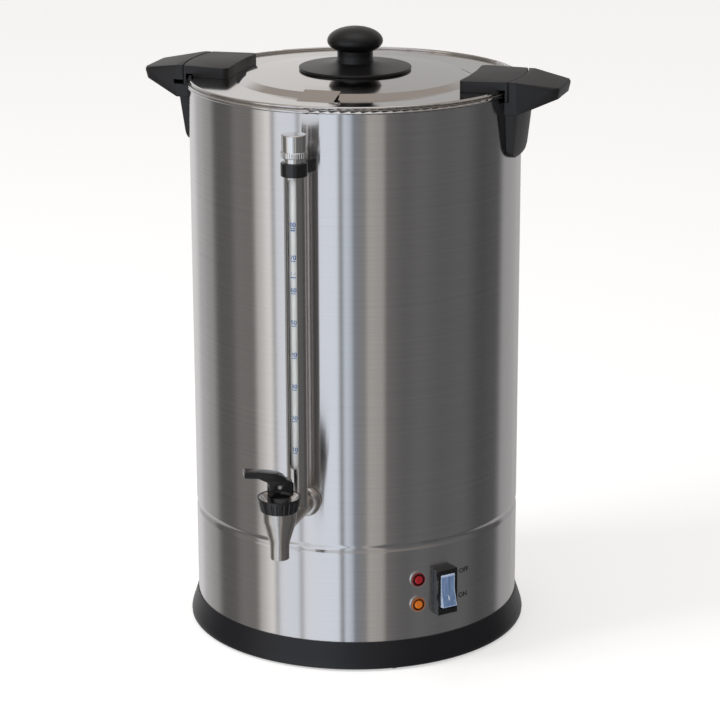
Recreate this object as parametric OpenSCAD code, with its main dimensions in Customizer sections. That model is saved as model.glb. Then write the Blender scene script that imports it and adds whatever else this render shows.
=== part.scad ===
// Percolating coffee urn. Millimetres, +Z up, the origin on the floor at the urn's axis.
// The tap and the gauge face -Y, the handles lie along X. Angles named _az are measured
// from -Y towards +X, seen from above.

/* [Body] */
// Outer diameter of the body shell
body_d = 260; // [240:1:290]
// Thickness of the shell's sheet
wall_t = 1; // [0.8:0.1:1.5]
// Height of the centre of the rim bead
rim_z = 441; // [400:1:480]
// Diameter of the rolled rim bead
rim_bead_d = 3; // [2.4:0.1:4]
// How far the bead's centre stands outside the shell
rim_roll = 0.8; // [0.4:0.1:1.2]
// Height of the rolled groove that seats the tank floor
groove_z = 99; // [80:1:115]
// Width of the groove
groove_w = 8; // [3:0.5:10]
// Depth of the groove
groove_depth = 1.2; // [0.8:0.1:2]

/* [Base] */
// Height of the base ring's upper edge
base_h = 22.4; // [18:0.2:30]
// How far the base ring flares out past the shell
base_flare = 6; // [4:0.5:9]
// Distance of the feet's circle from the base ring's outer edge
foot_inset = 7; // [6:0.2:9]
// Height of the rubber feet below the base ring
foot_gap = 1; // [0.5:0.1:2]
// Diameter of a rubber foot
foot_d = 6.4; // [5:0.2:7]
// Number of rubber feet
foot_count = 6; // [4:1:8]
// Thickness of the bottom cover
cover_t = 1.2; // [1:0.1:2]
// Diameter of the tie studs under the tank
stud_d = 5; // [4:0.5:6]
// Distance of the tie studs from the shell's outer face
stud_inset = 22; // [20.5:0.5:28]

/* [Tank floor] */
// Thickness of the tank floor
floor_t = 1.2; // [1:0.1:2]
// Height of the floor's welded rim
floor_rim_h = 9; // [6:0.5:14]
// Radius of the pump well
well_r = 30; // [27:0.5:34]
// Depth of the pump well
well_depth = 8; // [5:0.5:10]

/* [Lid] */
// Thickness of the lid's sheet
lid_t = 0.8; // [0.6:0.1:1.2]
// Diameter of the lid's edge bead
lid_bead_d = 2.6; // [2:0.1:3.2]
// Width of the lid's flat flange, from its edge bead inwards
lid_flange_w = 36; // [32:1:42]
// Width of the sloping step between flange and dome
lid_step_w = 8; // [6:0.5:20]
// Rise of the step from the flange
lid_step_h = 3.4; // [2:0.2:6]
// Rise of the dome from the step to the centre
lid_dome_h = 5; // [2:0.2:7]
// Width of the steam louvre
louvre_w = 28; // [20:1:36]
// Rise of the louvre above the lid
louvre_h = 1.6; // [1:0.1:2.5]
// How far the louvre's hood runs out over the flange
louvre_run = 11; // [4:0.5:14]
// Width of the lid gasket's section
gasket_w = 4; // [3:0.5:5]

/* [Lid blocks and handles] */
// Thickness of the block's skirt outside the rim bead
skirt_t = 2; // [1.8:0.1:3]
// Gap at the seam
seam_gap = 0.6; // [0.4:0.1:1]
// Width of the handle at the seam
handle_w = 66; // [56:1:76]
// Height of the handle's top above the rim
handle_rise = 11; // [9.5:0.5:16]
// Width of the block at its inner end
block_in_w = 73; // [66:1:80]
// Distance of the handle's tip from the seam
handle_reach = 32.8; // [28:0.4:48]
// Width of the handle at its tip
handle_tip_w = 52; // [40:1:58]
// Thickness of the handle at its tip
handle_tip_t = 9; // [5:0.2:12]
// How far the tip's top lies below the handle's top
handle_tip_drop = 4.6; // [2:0.2:8]
// Depth of the wing's root below the rim bead
wing_root_drop = 13; // [12:0.5:20]
// Height of the handle's leg below the rim bead
leg_h = 51; // [44:1:60]
// Width of the leg
leg_w = 78; // [70:1:84]
// Depth of the leg off the shell, at its top
leg_depth = 8.5; // [7:0.5:12]
// Depth of the leg off the shell, at its foot
leg_foot_depth = 5; // [4:0.5:7]
// How much the leg narrows on each side towards its foot
leg_taper = 6; // [0:0.5:10]
// Height of the lock slot in the handle
slot_h = 3.6; // [3:0.2:4.4]
// Depth of the lock slot in the handle
slot_depth = 7.6; // [3:0.2:9]
// Diameter of the handle screws
handle_screw_d = 5; // [4:0.5:6]

/* [Knob] */
// Diameter of the knob's disc
knob_disc_d = 88; // [76:1:100]
// Thickness of the disc's edge
knob_edge_h = 2; // [1.6:0.1:5]
// Height of the disc's hub above the lid's top
knob_hub_h = 4.5; // [3:0.5:8]
// Height of the knob above the lid's top
knob_h = 32; // [28:0.5:44]
// Diameter of the knob's head
knob_head_d = 43.5; // [36:0.5:52]
// Thickness of the knob's head
knob_head_t = 21; // [14:0.5:23]
// Diameter of the knob's neck
knob_neck_d = 29; // [20:0.5:30]
// Diameter of the knob screw
knob_screw_d = 5; // [4:0.5:6]

/* [Gauge] */
// Gap between the body shell and the back of the shield tube
gauge_gap = 14.1; // [11:0.1:18]
// Distance of the shield tube's top below the rim bead's centre
gauge_drop = 33; // [28:1:90]
// Wall of the shield tube
shield_t = 1; // [0.8:0.1:1.2]
// Width of the window in the shield
window_w = 7.5; // [5:0.5:9]
// Distance of the window's lower end from the shield's lower end
window_foot = 14.4; // [10:0.2:18]
// Distance of the window's upper end from the shield's upper end
window_head = 11.6; // [10.8:0.2:20]
// Outer diameter of the glass
glass_d = 10; // [8:0.5:10.5]
// Wall of the glass
glass_t = 1.5; // [1:0.1:2]
// Thickness of the seals round the glass
seal_t = 1.2; // [1:0.1:1.6]
// Depth to which the glass sits in its socket
glass_seat = 10.5; // [8:0.5:13]
// Wall of the spigot that enters the shield tube
spigot_t = 0.65; // [0.6:0.05:1]
// How far the cap stands out past the shield tube
cap_over = 1.3; // [0.8:0.1:2.4]
// Depth of the cap's plug in the shield tube
cap_plug_h = 5; // [4:0.5:6]
// Height of the cap above its knurled ring
cap_h = 12.6; // [8:0.2:16]
// Height of the knurled ring
knurl_h = 4.6; // [3:0.2:7]
// Number of grooves in the knurled ring
knurl_count = 36; // [24:4:48]
// Height of the clip
clip_h = 10; // [7:0.5:14]
// Wall of the clip's ring
clip_t = 2.1; // [1.5:0.1:3]
// Width of the clip's foot on the shell
clip_foot_w = 21; // [16:0.5:26]

/* [Tap] */
// Height of the tap's shank
tap_z = 137.9; // [134:0.5:145]
// Distance of the spout's axis from the gauge's axis
spout_reach = 43; // [38:0.5:50]
// Outer diameter of the shank
shank_d = 15.6; // [14:0.2:18]
// Wall of the shank
shank_wall = 3; // [2.4:0.1:3.6]
// Height of the gauge socket above the shank's axis
socket_h = 20.1; // [18:0.5:26]
// Diameter of the dome flange
flange_d = 24; // [20:0.5:28]
// Thickness of the dome flange
flange_t = 5; // [3:0.5:7]
// Outer diameter of the spout's end
spout_d = 14.4; // [13:0.2:16]
// Wall of the spout
spout_wall = 2.2; // [1.8:0.1:2.8]
// Length of the spout below the shank's axis
spout_drop = 23.9; // [18:0.5:30]
// Outer diameter of the tap body's top
tap_top_d = 26; // [25:0.2:28]
// Height of the tap body's shoulder above the shank's axis
tap_rise = 14.5; // [12.5:0.5:18]
// Height of the bonnet ring
bonnet_h = 10.6; // [9.6:0.2:14]
// How far the bonnet ring's top stands out past the tap body's top
bonnet_flare = 3.4; // [2.8:0.1:5]
// Number of flutes round the bonnet ring
flute_count = 24; // [16:2:32]
// Diameter of the bonnet hub
hub_d = 18; // [15:0.5:20]
// Diameter of the stem
stem_d = 6; // [5:0.2:7]
// Height of the lever's pin above the hub
pin_h = 7.5; // [6.5:0.5:10]
// Diameter of the lever's pin
pin_d = 3; // [2:0.2:3.4]
// Reach of the lever from the spout's axis
lever_reach = 26.5; // [20:0.5:31]
// Width of the lever
lever_w = 9.6; // [9:0.2:12]
// Thickness of the lever's arm at its end
lever_t = 4.8; // [4:0.2:7]
// Rise of the lever's arm from the pin to its end
lever_rise = 4.2; // [0:0.2:8]
// Direction of the lever, from -Y towards +X
lever_az = -62; // [-180:1:180]
// Reach of the cam toe in front of the pin
toe_reach = 7.4; // [6:0.2:8.4]
// Turns of the tap's spring
spring_turns = 5; // [4:1:7]

/* [Controls] */
// Direction of the switch
switch_az = 48.2; // [44:0.2:60]
// Height of the switch's centre
switch_z = 59.7; // [50:0.5:66]
// Wall of the switch's bezel at the rocker's sides
bezel_side = 2.3; // [1.6:0.1:4]
// Wall of the switch's bezel above and below the rocker
bezel_end = 3.7; // [2:0.1:6]
// How far the bezel stands out of the shell
bezel_out = 7.5; // [5:0.5:10]
// Width of the rocker
rocker_w = 12.6; // [10:0.2:12.8]
// Half length of the rocker
rocker_half = 13; // [11:0.2:13.2]
// Half of the rocker's throw, in degrees
rocker_throw = 8; // [5:0.5:9]
// Angle between the switch and the lamps
lamp_turn = 9.7; // [8.5:0.1:16]
// Height of the upper lamp's centre
lamp_top_z = 71.5; // [66:0.5:76]
// Distance between the lamps
lamp_pitch = 20.5; // [18:0.5:24]
// Diameter of a lamp's lens
lens_d = 11.4; // [9:0.2:13]
// Width of the bright rim round a lens
lamp_rim_w = 0.9; // [0.6:0.1:1.5]

/* [Inlet] */
// Height of the power inlet's centre
inlet_z = 56; // [48:1:64]
// Width of the inlet's recess
recess_w = 24.4; // [22:0.2:28]
// Height of the inlet's recess
recess_h = 16.4; // [14:0.2:18]
// Depth of the inlet's recess
recess_depth = 18; // [14:0.5:20]
// Wall round the inlet's recess
recess_wall = 1.8; // [1.4:0.1:2.4]
// How far the inlet's flange stands out of the shell
inlet_out = 4; // [3:0.2:6]
// Distance between the inlet's two screws
inlet_pitch = 40; // [38:0.5:44]
// Distance from an inlet screw to the flange's end
inlet_ear = 4; // [3.4:0.2:6]
// Distance between neighbouring blades of the inlet
blade_pitch = 7; // [6:0.2:8]
// Width of a blade
blade_w = 4; // [3:0.2:5]
// Thickness of a blade
blade_t = 2; // [1.4:0.1:2.4]

/* [Heating] */
// Radius of the ring element
element_r = 66; // [58:1:74]
// Diameter of the ring element's tube
element_d = 6.3; // [5:0.1:8]
// Length of the element's turned-down ends
element_end = 14; // [10:1:20]
// Thickness of the heater plate
plate_t = 4; // [3:0.5:6]
// Width of the heater plate on each side of the element
plate_side = 24; // [16:1:26]
// Height of the well heater
well_heater_h = 7; // [5:0.5:9]
// Radius of a thermostat
thermostat_r = 8; // [6:0.5:10]
// Height of a thermostat
thermostat_h = 9; // [7:0.5:12]
// Place of the thermal cut-out along X
cutout_x = 52; // [46:1:56]
// Place of the thermal cut-out along Y
cutout_y = 58; // [52:1:62]
// Width of the thermal cut-out
cutout_w = 22; // [18:1:26]
// Depth of the thermal cut-out
cutout_d = 26; // [22:1:30]
// Height of the thermal cut-out
cutout_h = 26; // [20:1:32]
// Diameter of the reset button
reset_d = 4.8; // [4:0.2:6]
// Place of the terminal block along X
block_x = -34; // [-40:1:-28]
// Place of the terminal block along Y
block_y = 46; // [40:1:52]
// Distance between neighbouring terminals
terminal_pitch = 12; // [10:0.5:14]
// Depth and height of the terminal block
terminal_h = 18; // [14:0.5:22]
// Diameter of a wire
wire_d = 3; // [2:0.2:3.6]

/* [Percolator] */
// Diameter of the coffee basket
basket_d = 176; // [150:2:200]
// Height of the coffee basket
basket_h = 80; // [60:2:100]
// Outer diameter of the pump tube
tube_d = 10; // [9:0.5:11]
// Wall of the pump tube
tube_t = 0.9; // [0.7:0.1:1.2]
// Gap between the pump tube's top and the closed lid
tube_head_gap = 15; // [10:1:20]
// Height between the basket's cover and the pump tube's top
cover_gap = 13.2; // [8:0.2:20]
// Diameter of the holes in the basket
strain_d = 3; // [2:0.2:4]

/* [Hidden] */
$fn = 96;

// Clearances
fit = 0.05;        // a screw or tube in its hole, on one body
run = 0.08;        // a shaft that turns or slides
bedding = 0.2;     // a tube pressed or soldered into a groove
free = 0.4;        // pieces that move past each other

// Body and rim
body_r = body_d / 2;
inner_r = body_r - wall_t;
rim_c = body_r + rim_roll;
rim_out = rim_c + rim_bead_d / 2;
rim_top = rim_z + rim_bead_d / 2;
rim_under = rim_z - rim_bead_d / 2;
clip_bore_d = 4;

// Base
shell_foot_z = 10;
base_lip_w = 6;
cover_z = foot_gap + 4.8;
cover_r = body_r - base_lip_w;
nut_h = 4;
foot_r = body_r + base_flare - foot_inset;
stud_r = body_r - stud_inset;
ledge_r = cover_r - 12;
ledge_t = 3;
foot_round = 3;

// Tank floor
floor_z = groove_z + groove_w / 2 + 0.3;
floor_top = floor_z + floor_t;
well_z = floor_z - well_depth;

// Lid
lid_flange_top = rim_top + 0.7;
lid_bead_z = rim_top + 0.2 + lid_bead_d / 2;
lid_bead_c = body_r - 1;
lid_bead_top = lid_bead_z + lid_bead_d / 2;
lid_bead_in = lid_bead_c - lid_bead_d / 2;
lid_step_r = lid_bead_c - lid_flange_w;
lid_dome_r = lid_step_r - lid_step_w;
lid_step_top = lid_flange_top + lid_step_h;
lid_top = lid_step_top + lid_dome_h;
function lid_z(r) = lid_top - lid_dome_h * pow(r / lid_dome_r, 2);

// Blocks and handles
handle_top = rim_z + handle_rise;
skirt_in_r = rim_out + free;
block_out_r = skirt_in_r + skirt_t;
seam_r = block_out_r + seam_gap / 2;
wing_in_r = seam_r + seam_gap / 2;
block_in_x = lid_step_r;
handle_tip_x = seam_r + handle_reach;
hook_z = rim_under - 2.5;
leg_top = hook_z - 0.5;
leg_z = rim_under - leg_h;
leg_out_r = body_r + leg_depth;
leg_foot_r = body_r + leg_foot_depth;
wing_root_z = rim_under - wing_root_drop;
leg_block_w = handle_w - 3;
handle_screw_zs = [leg_z + 15, wing_root_z - 3];
block_screw_d = 4;
block_screw_r = inner_r - free - gasket_w - 12.6;
block_screw_y = 20;

// Gauge
socket_top = tap_z + socket_h;
shield_top = rim_z - gauge_drop;
shield_h = shield_top - socket_top;
spigot_r = glass_d / 2 + seal_t + spigot_t;
shield_d = 2 * (spigot_r + fit + shield_t);
gauge_r = body_r + gauge_gap + shield_d / 2;
window_z = socket_top + window_foot;
window_top = shield_top - window_head;
cap_d = shield_d + 2 * cap_over;
clip_z = shield_top - clip_h;

// Tap
spout_r = gauge_r + spout_reach;
spout_bore_d = spout_d - 2 * spout_wall;
shank_bore_d = shank_d - 2 * shank_wall;
bonnet_d = tap_top_d + 2 * bonnet_flare;
spout_z = tap_z - spout_drop;
tap_top = tap_z + tap_rise;
neck_h = 6;
bonnet_top = tap_top + bonnet_h;
hub_z = bonnet_top - 3.6;
hub_top = bonnet_top + 1;
pin_z = hub_top + pin_h;
seat_z = tap_z - 3.9;
cup_r = spout_bore_d / 2 + 1.4;
chamber_r = cup_r + 0.9;
neck_r = tap_top_d / 2 - 1.2;
dish_r = tap_top_d / 2 - 0.4;
chamber_top_r = neck_r - 1.5;
spigot_z = tap_top + 4;
flange_seat_r = body_r + 1.6;
shank_end_r = body_r - 16;
shank_nut_h = 6;

// Controls
switch_pivot_r = body_r - 1;
rocker_face = bezel_out + body_r - switch_pivot_r + 0.1;
rocker_lip = rocker_half * tan(rocker_throw);
pocket_half_h = rocker_half * cos(rocker_throw) + (rocker_face + rocker_lip) * sin(rocker_throw) + 0.3;
pocket_half_w = rocker_w / 2 + 0.2;
bezel_w = 2 * (pocket_half_w + bezel_side);
bezel_h = 2 * (pocket_half_h + bezel_end);
axle_r = 1.5;
lamp_az = switch_az - lamp_turn;
lamp_zs = [lamp_top_z, lamp_top_z - lamp_pitch];
lamp_barrel_r = lens_d / 2 - 1;

// Percolator
perc_floor = floor_top - well_depth + 0.2;
tube_top = lid_top - tube_head_gap;
basket_t = 0.8;
basket_z = tube_top - cover_gap - basket_t - basket_h;
foot_rise = 15;
washer_seat = perc_floor + 9;

// ---- shapes used by more than one piece ----

// A solid turned about the Z axis from a closed outline of [radius, height] points
module turned(outline) rotate_extrude() polygon(outline);

// Local frame at an angle from the tap: +x points outwards, +y towards greater angles
module at_az(az) rotate([0, 0, az - 90]) children();

// A rod that lies along the local x axis
module rod_x(r, x0, x1) translate([x0, 0, 0]) rotate([0, 90, 0]) cylinder(r = r, h = x1 - x0);

// A hexagonal prism along the local x axis, given its width across the flats
module hex_x(flats, x0, x1)
    translate([x0, 0, 0]) rotate([0, 90, 0]) cylinder(d = flats / cos(30), h = x1 - x0, $fn = 6);

// A box centred on y and z, from x0 to x1
module slab_x(w, h, x0, x1) translate([x0, -w / 2, -h / 2]) cube([x1 - x0, w, h]);

// A ring of copies about the Z axis
module around(count, r, start = 0)
    for (i = [0 : count - 1]) rotate([0, 0, start + i * 360 / count]) translate([r, 0, 0]) children();

// Everything within the shell's outer face
module shell_core(r = body_r) cylinder(r = r, h = 3 * rim_z, center = true, $fn = 192);

// Points of a quarter or other arc, for outlines
function arc(cx, cy, r, a0, a1, n = 6) =
    [for (i = [0 : n]) let (a = a0 + (a1 - a0) * i / n) [cx + r * cos(a), cy + r * sin(a)]];

// Points of a smooth curve that passes through each given point
function flow(p, n = 4) = let (last = len(p) - 1) concat(
    [for (i = [0 : last - 1], k = [0 : n - 1]) let (t = k / n,
        a = p[max(i - 1, 0)], b = p[i], c = p[i + 1], d = p[min(i + 2, last)])
        b + ((c - a) * t + (2 * a - 5 * b + 4 * c - d) * t * t + (3 * b - a - 3 * c + d) * t * t * t) / 2],
    [p[last]]);

function unit(v) = v / norm(v);
function bezier(a, b, c, d, n) = [for (i = [0 : n]) let (t = i / n)
    pow(1 - t, 3) * a + 3 * pow(1 - t, 2) * t * b + 3 * (1 - t) * t * t * c + pow(t, 3) * d];

// A round tube swept along points, with flat ends
module swept(path, r, sides = 8, up = [0, 0, 1]) {
    last = len(path) - 1;
    rings = [for (i = [0 : last])
        let (t = unit(path[min(i + 1, last)] - path[max(i - 1, 0)]), u = unit(cross(t, up)), v = cross(u, t))
        for (j = [0 : sides - 1]) path[i] + r * (cos(360 * j / sides) * u + sin(360 * j / sides) * v)];
    walls = [for (i = [0 : last - 1], j = [0 : sides - 1])
        let (a = i * sides + j, b = i * sides + (j + 1) % sides)
        for (f = [[a, b, b + sides], [a, b + sides, a + sides]]) f];
    caps = [for (j = [1 : sides - 2])
        for (f = [[0, j + 1, j], [last * sides, last * sides + j, last * sides + j + 1]]) f];
    polyhedron(points = rings, faces = concat(walls, caps));
}

// A pan-head screw along the local x axis, its head's seat at x = 0 and its tip at x = length
module screw_x(d, length, head_d, head_h) {
    rod_x(d / 2, 0, length);
    rod_x(head_d / 2, -head_h, 0);
}

// ---- body ----

// The groove's depth at a height: one smooth wave
function groove(z) = groove_depth * (1 - cos(360 * (z - groove_z + groove_w / 2) / groove_w)) / 2;
groove_zs = [for (i = [0 : 8]) groove_z - groove_w / 2 + groove_w * i / 8];

module body_shell() color("silver") difference() {
    union() {
        turned(concat(
            [[inner_r, shell_foot_z], [body_r, shell_foot_z]],
            [for (z = groove_zs) [body_r - groove(z), z]],
            [[body_r, rim_z], [inner_r, rim_z]],
            [for (i = [8 : -1 : 0]) [inner_r - groove(groove_zs[i]), groove_zs[i]]]));
        rotate_extrude() translate([rim_c, rim_z]) circle(d = rim_bead_d);
    }
    at_az(0) {
        translate([0, 0, tap_z]) rod_x(shank_d / 2 + fit, inner_r - 4, body_r + 4);
        translate([0, 0, clip_z + clip_h / 2]) rod_x(clip_bore_d / 2 + 0.5, inner_r - 4, body_r + 4);
    }
    for (az = [-90, 90], z = handle_screw_zs)
        at_az(az) translate([0, 0, z]) rod_x(handle_screw_d / 2 + fit, inner_r - 4, body_r + 4);
    at_az(switch_az) translate([0, 0, switch_z])
        slab_x(2 * pocket_half_w + 2.4, 2 * pocket_half_h + 1.6, inner_r - 8, body_r + 8);
    for (z = lamp_zs)
        at_az(lamp_az) translate([0, 0, z]) rod_x(lamp_barrel_r + fit, inner_r - 4, body_r + 4);
    at_az(180) translate([0, 0, inlet_z]) {
        slab_x(inlet_body_w + 1, inlet_body_h + 1, inner_r - 8, body_r + 8);
        for (s = [-1, 1])
            translate([0, s * inlet_pitch / 2, 0]) rod_x(inlet_screw_d / 2 + 0.3, inner_r - 8, body_r + 8);
    }
}

module tank_floor() color("gainsboro") turned([
    [0, well_z], [well_r - 4, well_z], [well_r + 1, floor_z], [inner_r, floor_z],
    [inner_r, floor_top + floor_rim_h], [inner_r - floor_t, floor_top + floor_rim_h],
    [inner_r - floor_t, floor_top], [well_r, floor_top],
    [well_r - 5, well_z + floor_t], [0, well_z + floor_t]]);

module tie_studs() color("gray") around(3, stud_r, 30)
    translate([0, 0, cover_z - nut_h - 0.4]) cylinder(d = stud_d, h = floor_z - cover_z + nut_h + 0.4);

module stud_nuts() color("gray") around(3, stud_r, 30) translate([0, 0, cover_z - nut_h]) difference() {
    cylinder(d = 1.8 * stud_d, h = nut_h, $fn = 6);
    translate([0, 0, -1]) cylinder(d = stud_d + 2 * fit, h = nut_h + 2);
}

module base_ring() color("#2b2d33") difference() {
    turned(concat(
        [[cover_r - 2, cover_z + cover_t], [cover_r + free, cover_z + cover_t], [cover_r + free, foot_gap]],
        arc(body_r + base_flare - foot_round, foot_gap + foot_round, foot_round, -90, -20, 4),
        flow([[body_r + base_flare, base_h * 0.22], [body_r + base_flare * 0.89, base_h * 0.36],
            [body_r + base_flare * 0.66, base_h * 0.55], [body_r + base_flare * 0.38, base_h * 0.78],
            [body_r + 0.7, base_h]], 3),
        [[body_r, base_h], [body_r, shell_foot_z],
         [inner_r, shell_foot_z], [inner_r, base_h - 3], [inner_r - 1.8, base_h - 3],
         [inner_r - 1.8, cover_z + cover_t + ledge_t], [ledge_r, cover_z + cover_t + ledge_t],
         [ledge_r, cover_z + cover_t]]));
    around(foot_count, foot_r) translate([0, 0, foot_gap - 1]) cylinder(d = foot_d + 2 * fit, h = 3);
}

module feet() color("#202020") around(foot_count, foot_r) cylinder(d = foot_d, h = foot_gap + 2);

module bottom_cover() color("darkgray") difference() {
    translate([0, 0, cover_z]) cylinder(r = cover_r, h = cover_t);
    around(3, stud_r, 30) translate([0, 0, cover_z - 1]) cylinder(d = stud_d + free, h = cover_t + 2);
    translate([cutout_x, cutout_y, cover_z - 1]) cylinder(r = collar_out_r + bedding, h = cover_t + 2);
    for (r = [30 : 12 : 66]) around(12, r, r) translate([0, 0, cover_z - 1]) cylinder(r = 2, h = cover_t + 2);
}

// ---- handles ----

// Shield outline in y and z, round at the lower corners and narrower there
function shield_outline(w, z0, z1, corner) = let (y = w / 2 - leg_taper - corner) concat(
    [[w / 2, z1]], arc(y, z0 + corner, corner, 0, -90),
    arc(-y, z0 + corner, corner, -90, -180), [[-w / 2, z1]]);

module shield_prism(w, z0, z1, corner, x0, x1) translate([x0, 0, 0]) rotate([90, 0, 90])
    linear_extrude(x1 - x0) polygon(shield_outline(w, z0, z1, corner));

// The foot that spreads the leg's load on the shell
module handle_foot() hull() {
    shield_prism(leg_w, leg_z, leg_top, 13, body_r - 10, body_r - 5.4);
    shield_prism(leg_block_w + 2, leg_z + 1.5, leg_top, 12, body_r - 10, body_r - 2);
}

// The leg's block, its outer face bent round the shell and drawn in towards the bottom
module handle_leg() intersection() {
    shield_prism(leg_block_w, leg_z + 2, leg_top, 12, body_r - 10, leg_out_r + 1);
    turned([[body_r - 8, leg_z], [leg_foot_r - 3, leg_z], [leg_foot_r - 1, leg_z + 3],
        [leg_foot_r, leg_z + 7], [leg_out_r, wing_root_z], [leg_out_r, leg_top], [body_r - 8, leg_top]]);
}

// The wing: level at the seam, then falling a little towards its rounded tip
tip_round = 9;
wing_round = 1.1;

module handle_wing() hull() {
    tip_top = handle_top - handle_tip_drop;
    for (s = [-1, 1]) {
        for (x = [body_r, wing_in_r + 1])
            translate([x, s * (handle_w / 2 - wing_round), handle_top - wing_round])
                sphere(r = wing_round, $fn = 16);
        for (x = [body_r - 6, leg_out_r - wing_round])
            translate([x, s * (leg_block_w / 2 - wing_round), wing_root_z + wing_round])
                sphere(r = wing_round, $fn = 16);
        translate([handle_tip_x - tip_round, s * (handle_tip_w / 2 - tip_round), tip_top]) {
            translate([0, 0, -0.9]) cylinder(r = tip_round - 0.8, h = 0.9, $fn = 32);
            translate([0, 0, -2.6]) cylinder(r = tip_round, h = 1.2, $fn = 32);
            translate([0, 0, -handle_tip_t]) cylinder(r = tip_round - 1.5, h = 1, $fn = 32);
        }
    }
}

// A handle in the local frame of the right-hand one: the wing points to +x
module handle() color("#34363c") difference() {
    union() {
        handle_foot();
        handle_leg();
        handle_wing();
    }
    shell_core(body_r + 0.1);
    translate([0, 0, leg_top]) cylinder(r = wing_in_r, h = handle_rise + 20, $fn = 192);
    // the lock slot, open towards +y
    rotate([0, 0, -11]) rotate_extrude(angle = 40)
        translate([wing_in_r - 1, hook_z]) square([slot_depth + 1, slot_h]);
    for (z = handle_screw_zs) translate([0, 0, z]) rod_x(handle_screw_d / 2 + fit, body_r - 10, body_r + 4.2);
}

module handle_left() at_az(-90) handle();
module handle_right() at_az(90) handle();

module handle_screws() color("lightgray")
    for (az = [-90, 90], z = handle_screw_zs)
        at_az(az) translate([inner_r - 0.15, 0, z]) screw_x(handle_screw_d, wall_t + 4, 9, 2.2);

// ---- tap ----

module tap_shank() color("#a8a39c") at_az(0) difference() {
    union() {
        translate([0, 0, tap_z]) rod_x(shank_d / 2, shank_end_r, spout_r - tap_top_d / 2 + 1.3);
        translate([gauge_r, 0, tap_z]) cylinder(d = shield_d - 0.2, h = socket_h);
        translate([gauge_r, 0, socket_top]) cylinder(r = spigot_r, h = 3);
    }
    translate([0, 0, tap_z]) rod_x(shank_bore_d / 2, shank_end_r - 1, spout_r);
    translate([gauge_r, 0, tap_z]) cylinder(d = glass_d - 2 * glass_t, h = socket_h);
    translate([gauge_r, 0, socket_top - glass_seat - 0.5])
        cylinder(r = glass_d / 2 + seal_t, h = glass_seat + 10);
    // the end fits the round of the tap body
    translate([spout_r, 0, 0]) tap_outer(fit);
}

// A flange with a flat edge and a quarter-round dome that meets the shank
flange_hole_r = shank_d / 2 + fit;
flange_edge = 1;
function flange_dome(a) = [flange_hole_r + (flange_d / 2 - flange_hole_r) * cos(a),
    flange_seat_r + flange_edge + (flange_t - flange_edge) * sin(a)];

module shank_flange() color("#b8b2aa") at_az(0) translate([0, 0, tap_z]) rotate([0, 90, 0]) turned([
    [flange_hole_r, flange_seat_r], [flange_d / 2, flange_seat_r],
    for (a = [0 : 15 : 75]) flange_dome(a),
    [flange_hole_r, flange_seat_r + flange_t]]);

module shank_seal() color("#e8e4da") at_az(0) difference() {
    translate([0, 0, tap_z]) rod_x(flange_d / 2 - 1, body_r - 3, flange_seat_r);
    translate([0, 0, tap_z]) rod_x(shank_d / 2 + fit, body_r - 4, flange_seat_r + 1);
    shell_core();
}

module shank_nut() color("#b8b2aa") at_az(0) translate([0, 0, tap_z]) difference() {
    hex_x(24, inner_r - 1 - shank_nut_h, inner_r - 1);
    rod_x(shank_d / 2 + fit, inner_r - 8 - shank_nut_h, inner_r);
}

// Outline of the tap body's outside, with an allowance all round
function tap_outline(grow) = concat(
    [[0, spout_z - grow], [spout_d / 2 - 0.5 + grow, spout_z - grow]],
    flow([[spout_d / 2 + grow, spout_z + 0.5], [spout_d / 2 + 0.05 + grow, spout_z + 8],
        [spout_d / 2 + 0.5 + grow, spout_z + 12.9], [spout_d / 2 + 2 + grow, tap_z - 6.1],
        [tap_top_d / 2 - 2.15 + grow, tap_z - 0.5], [tap_top_d / 2 - 1 + grow, tap_z + 3.7],
        [tap_top_d / 2 - 0.3 + grow, tap_z + 7], [tap_top_d / 2 + grow, tap_top - 0.5]], 3),
    [[tap_top_d / 2 - 0.4 + grow, tap_top], [0, tap_top]]);

module tap_outer(grow = 0) turned(tap_outline(grow));

module tap_body() color("#b0aba4") at_az(0) translate([spout_r, 0, 0]) difference() {
    union() {
        tap_outer();
        translate([0, 0, tap_top]) cylinder(r = neck_r, h = neck_h);
    }
    translate([0, 0, spout_z - 1]) cylinder(d = spout_bore_d, h = seat_z - spout_z + 2);
    turned([[0, seat_z], [chamber_r, seat_z], [chamber_top_r, seat_z + 11],
        [chamber_top_r, tap_top + neck_h + 1], [0, tap_top + neck_h + 1]]);
    // the way in from the shank
    translate([-chamber_r + 0.4, 0, tap_z]) rotate([0, -90, 0]) cylinder(d = shank_bore_d, h = 20);
}

// Radius of a flute, and how far its axis stands outside the ring's slanted face
flute_r = 1.3;
flute_out = 0.75;
bonnet_lean = atan(2 / (bonnet_h - 1.6));

module bonnet_ring() color("#17181b") at_az(0) translate([spout_r, 0, 0]) difference() {
    turned([
        [neck_r + fit, tap_top + fit], [bonnet_d / 2 - 2.3, tap_top + fit],
        [bonnet_d / 2 - 2, tap_top + 1], [bonnet_d / 2, bonnet_top - 0.6], [bonnet_d / 2 - 0.3, bonnet_top],
        [bonnet_d / 2 - 0.9, bonnet_top], [bonnet_d / 2 - 0.9, bonnet_top - 0.3], [dish_r, hub_z - 0.5],
        [dish_r, tap_top + neck_h], [neck_r + fit, tap_top + neck_h]]);
    around(flute_count, bonnet_d / 2 - 2 + flute_out) translate([0, 0, tap_top + 1])
        rotate([0, bonnet_lean, 0]) translate([0, 0, -3]) cylinder(r = flute_r, h = bonnet_h + 0.4);
}

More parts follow.
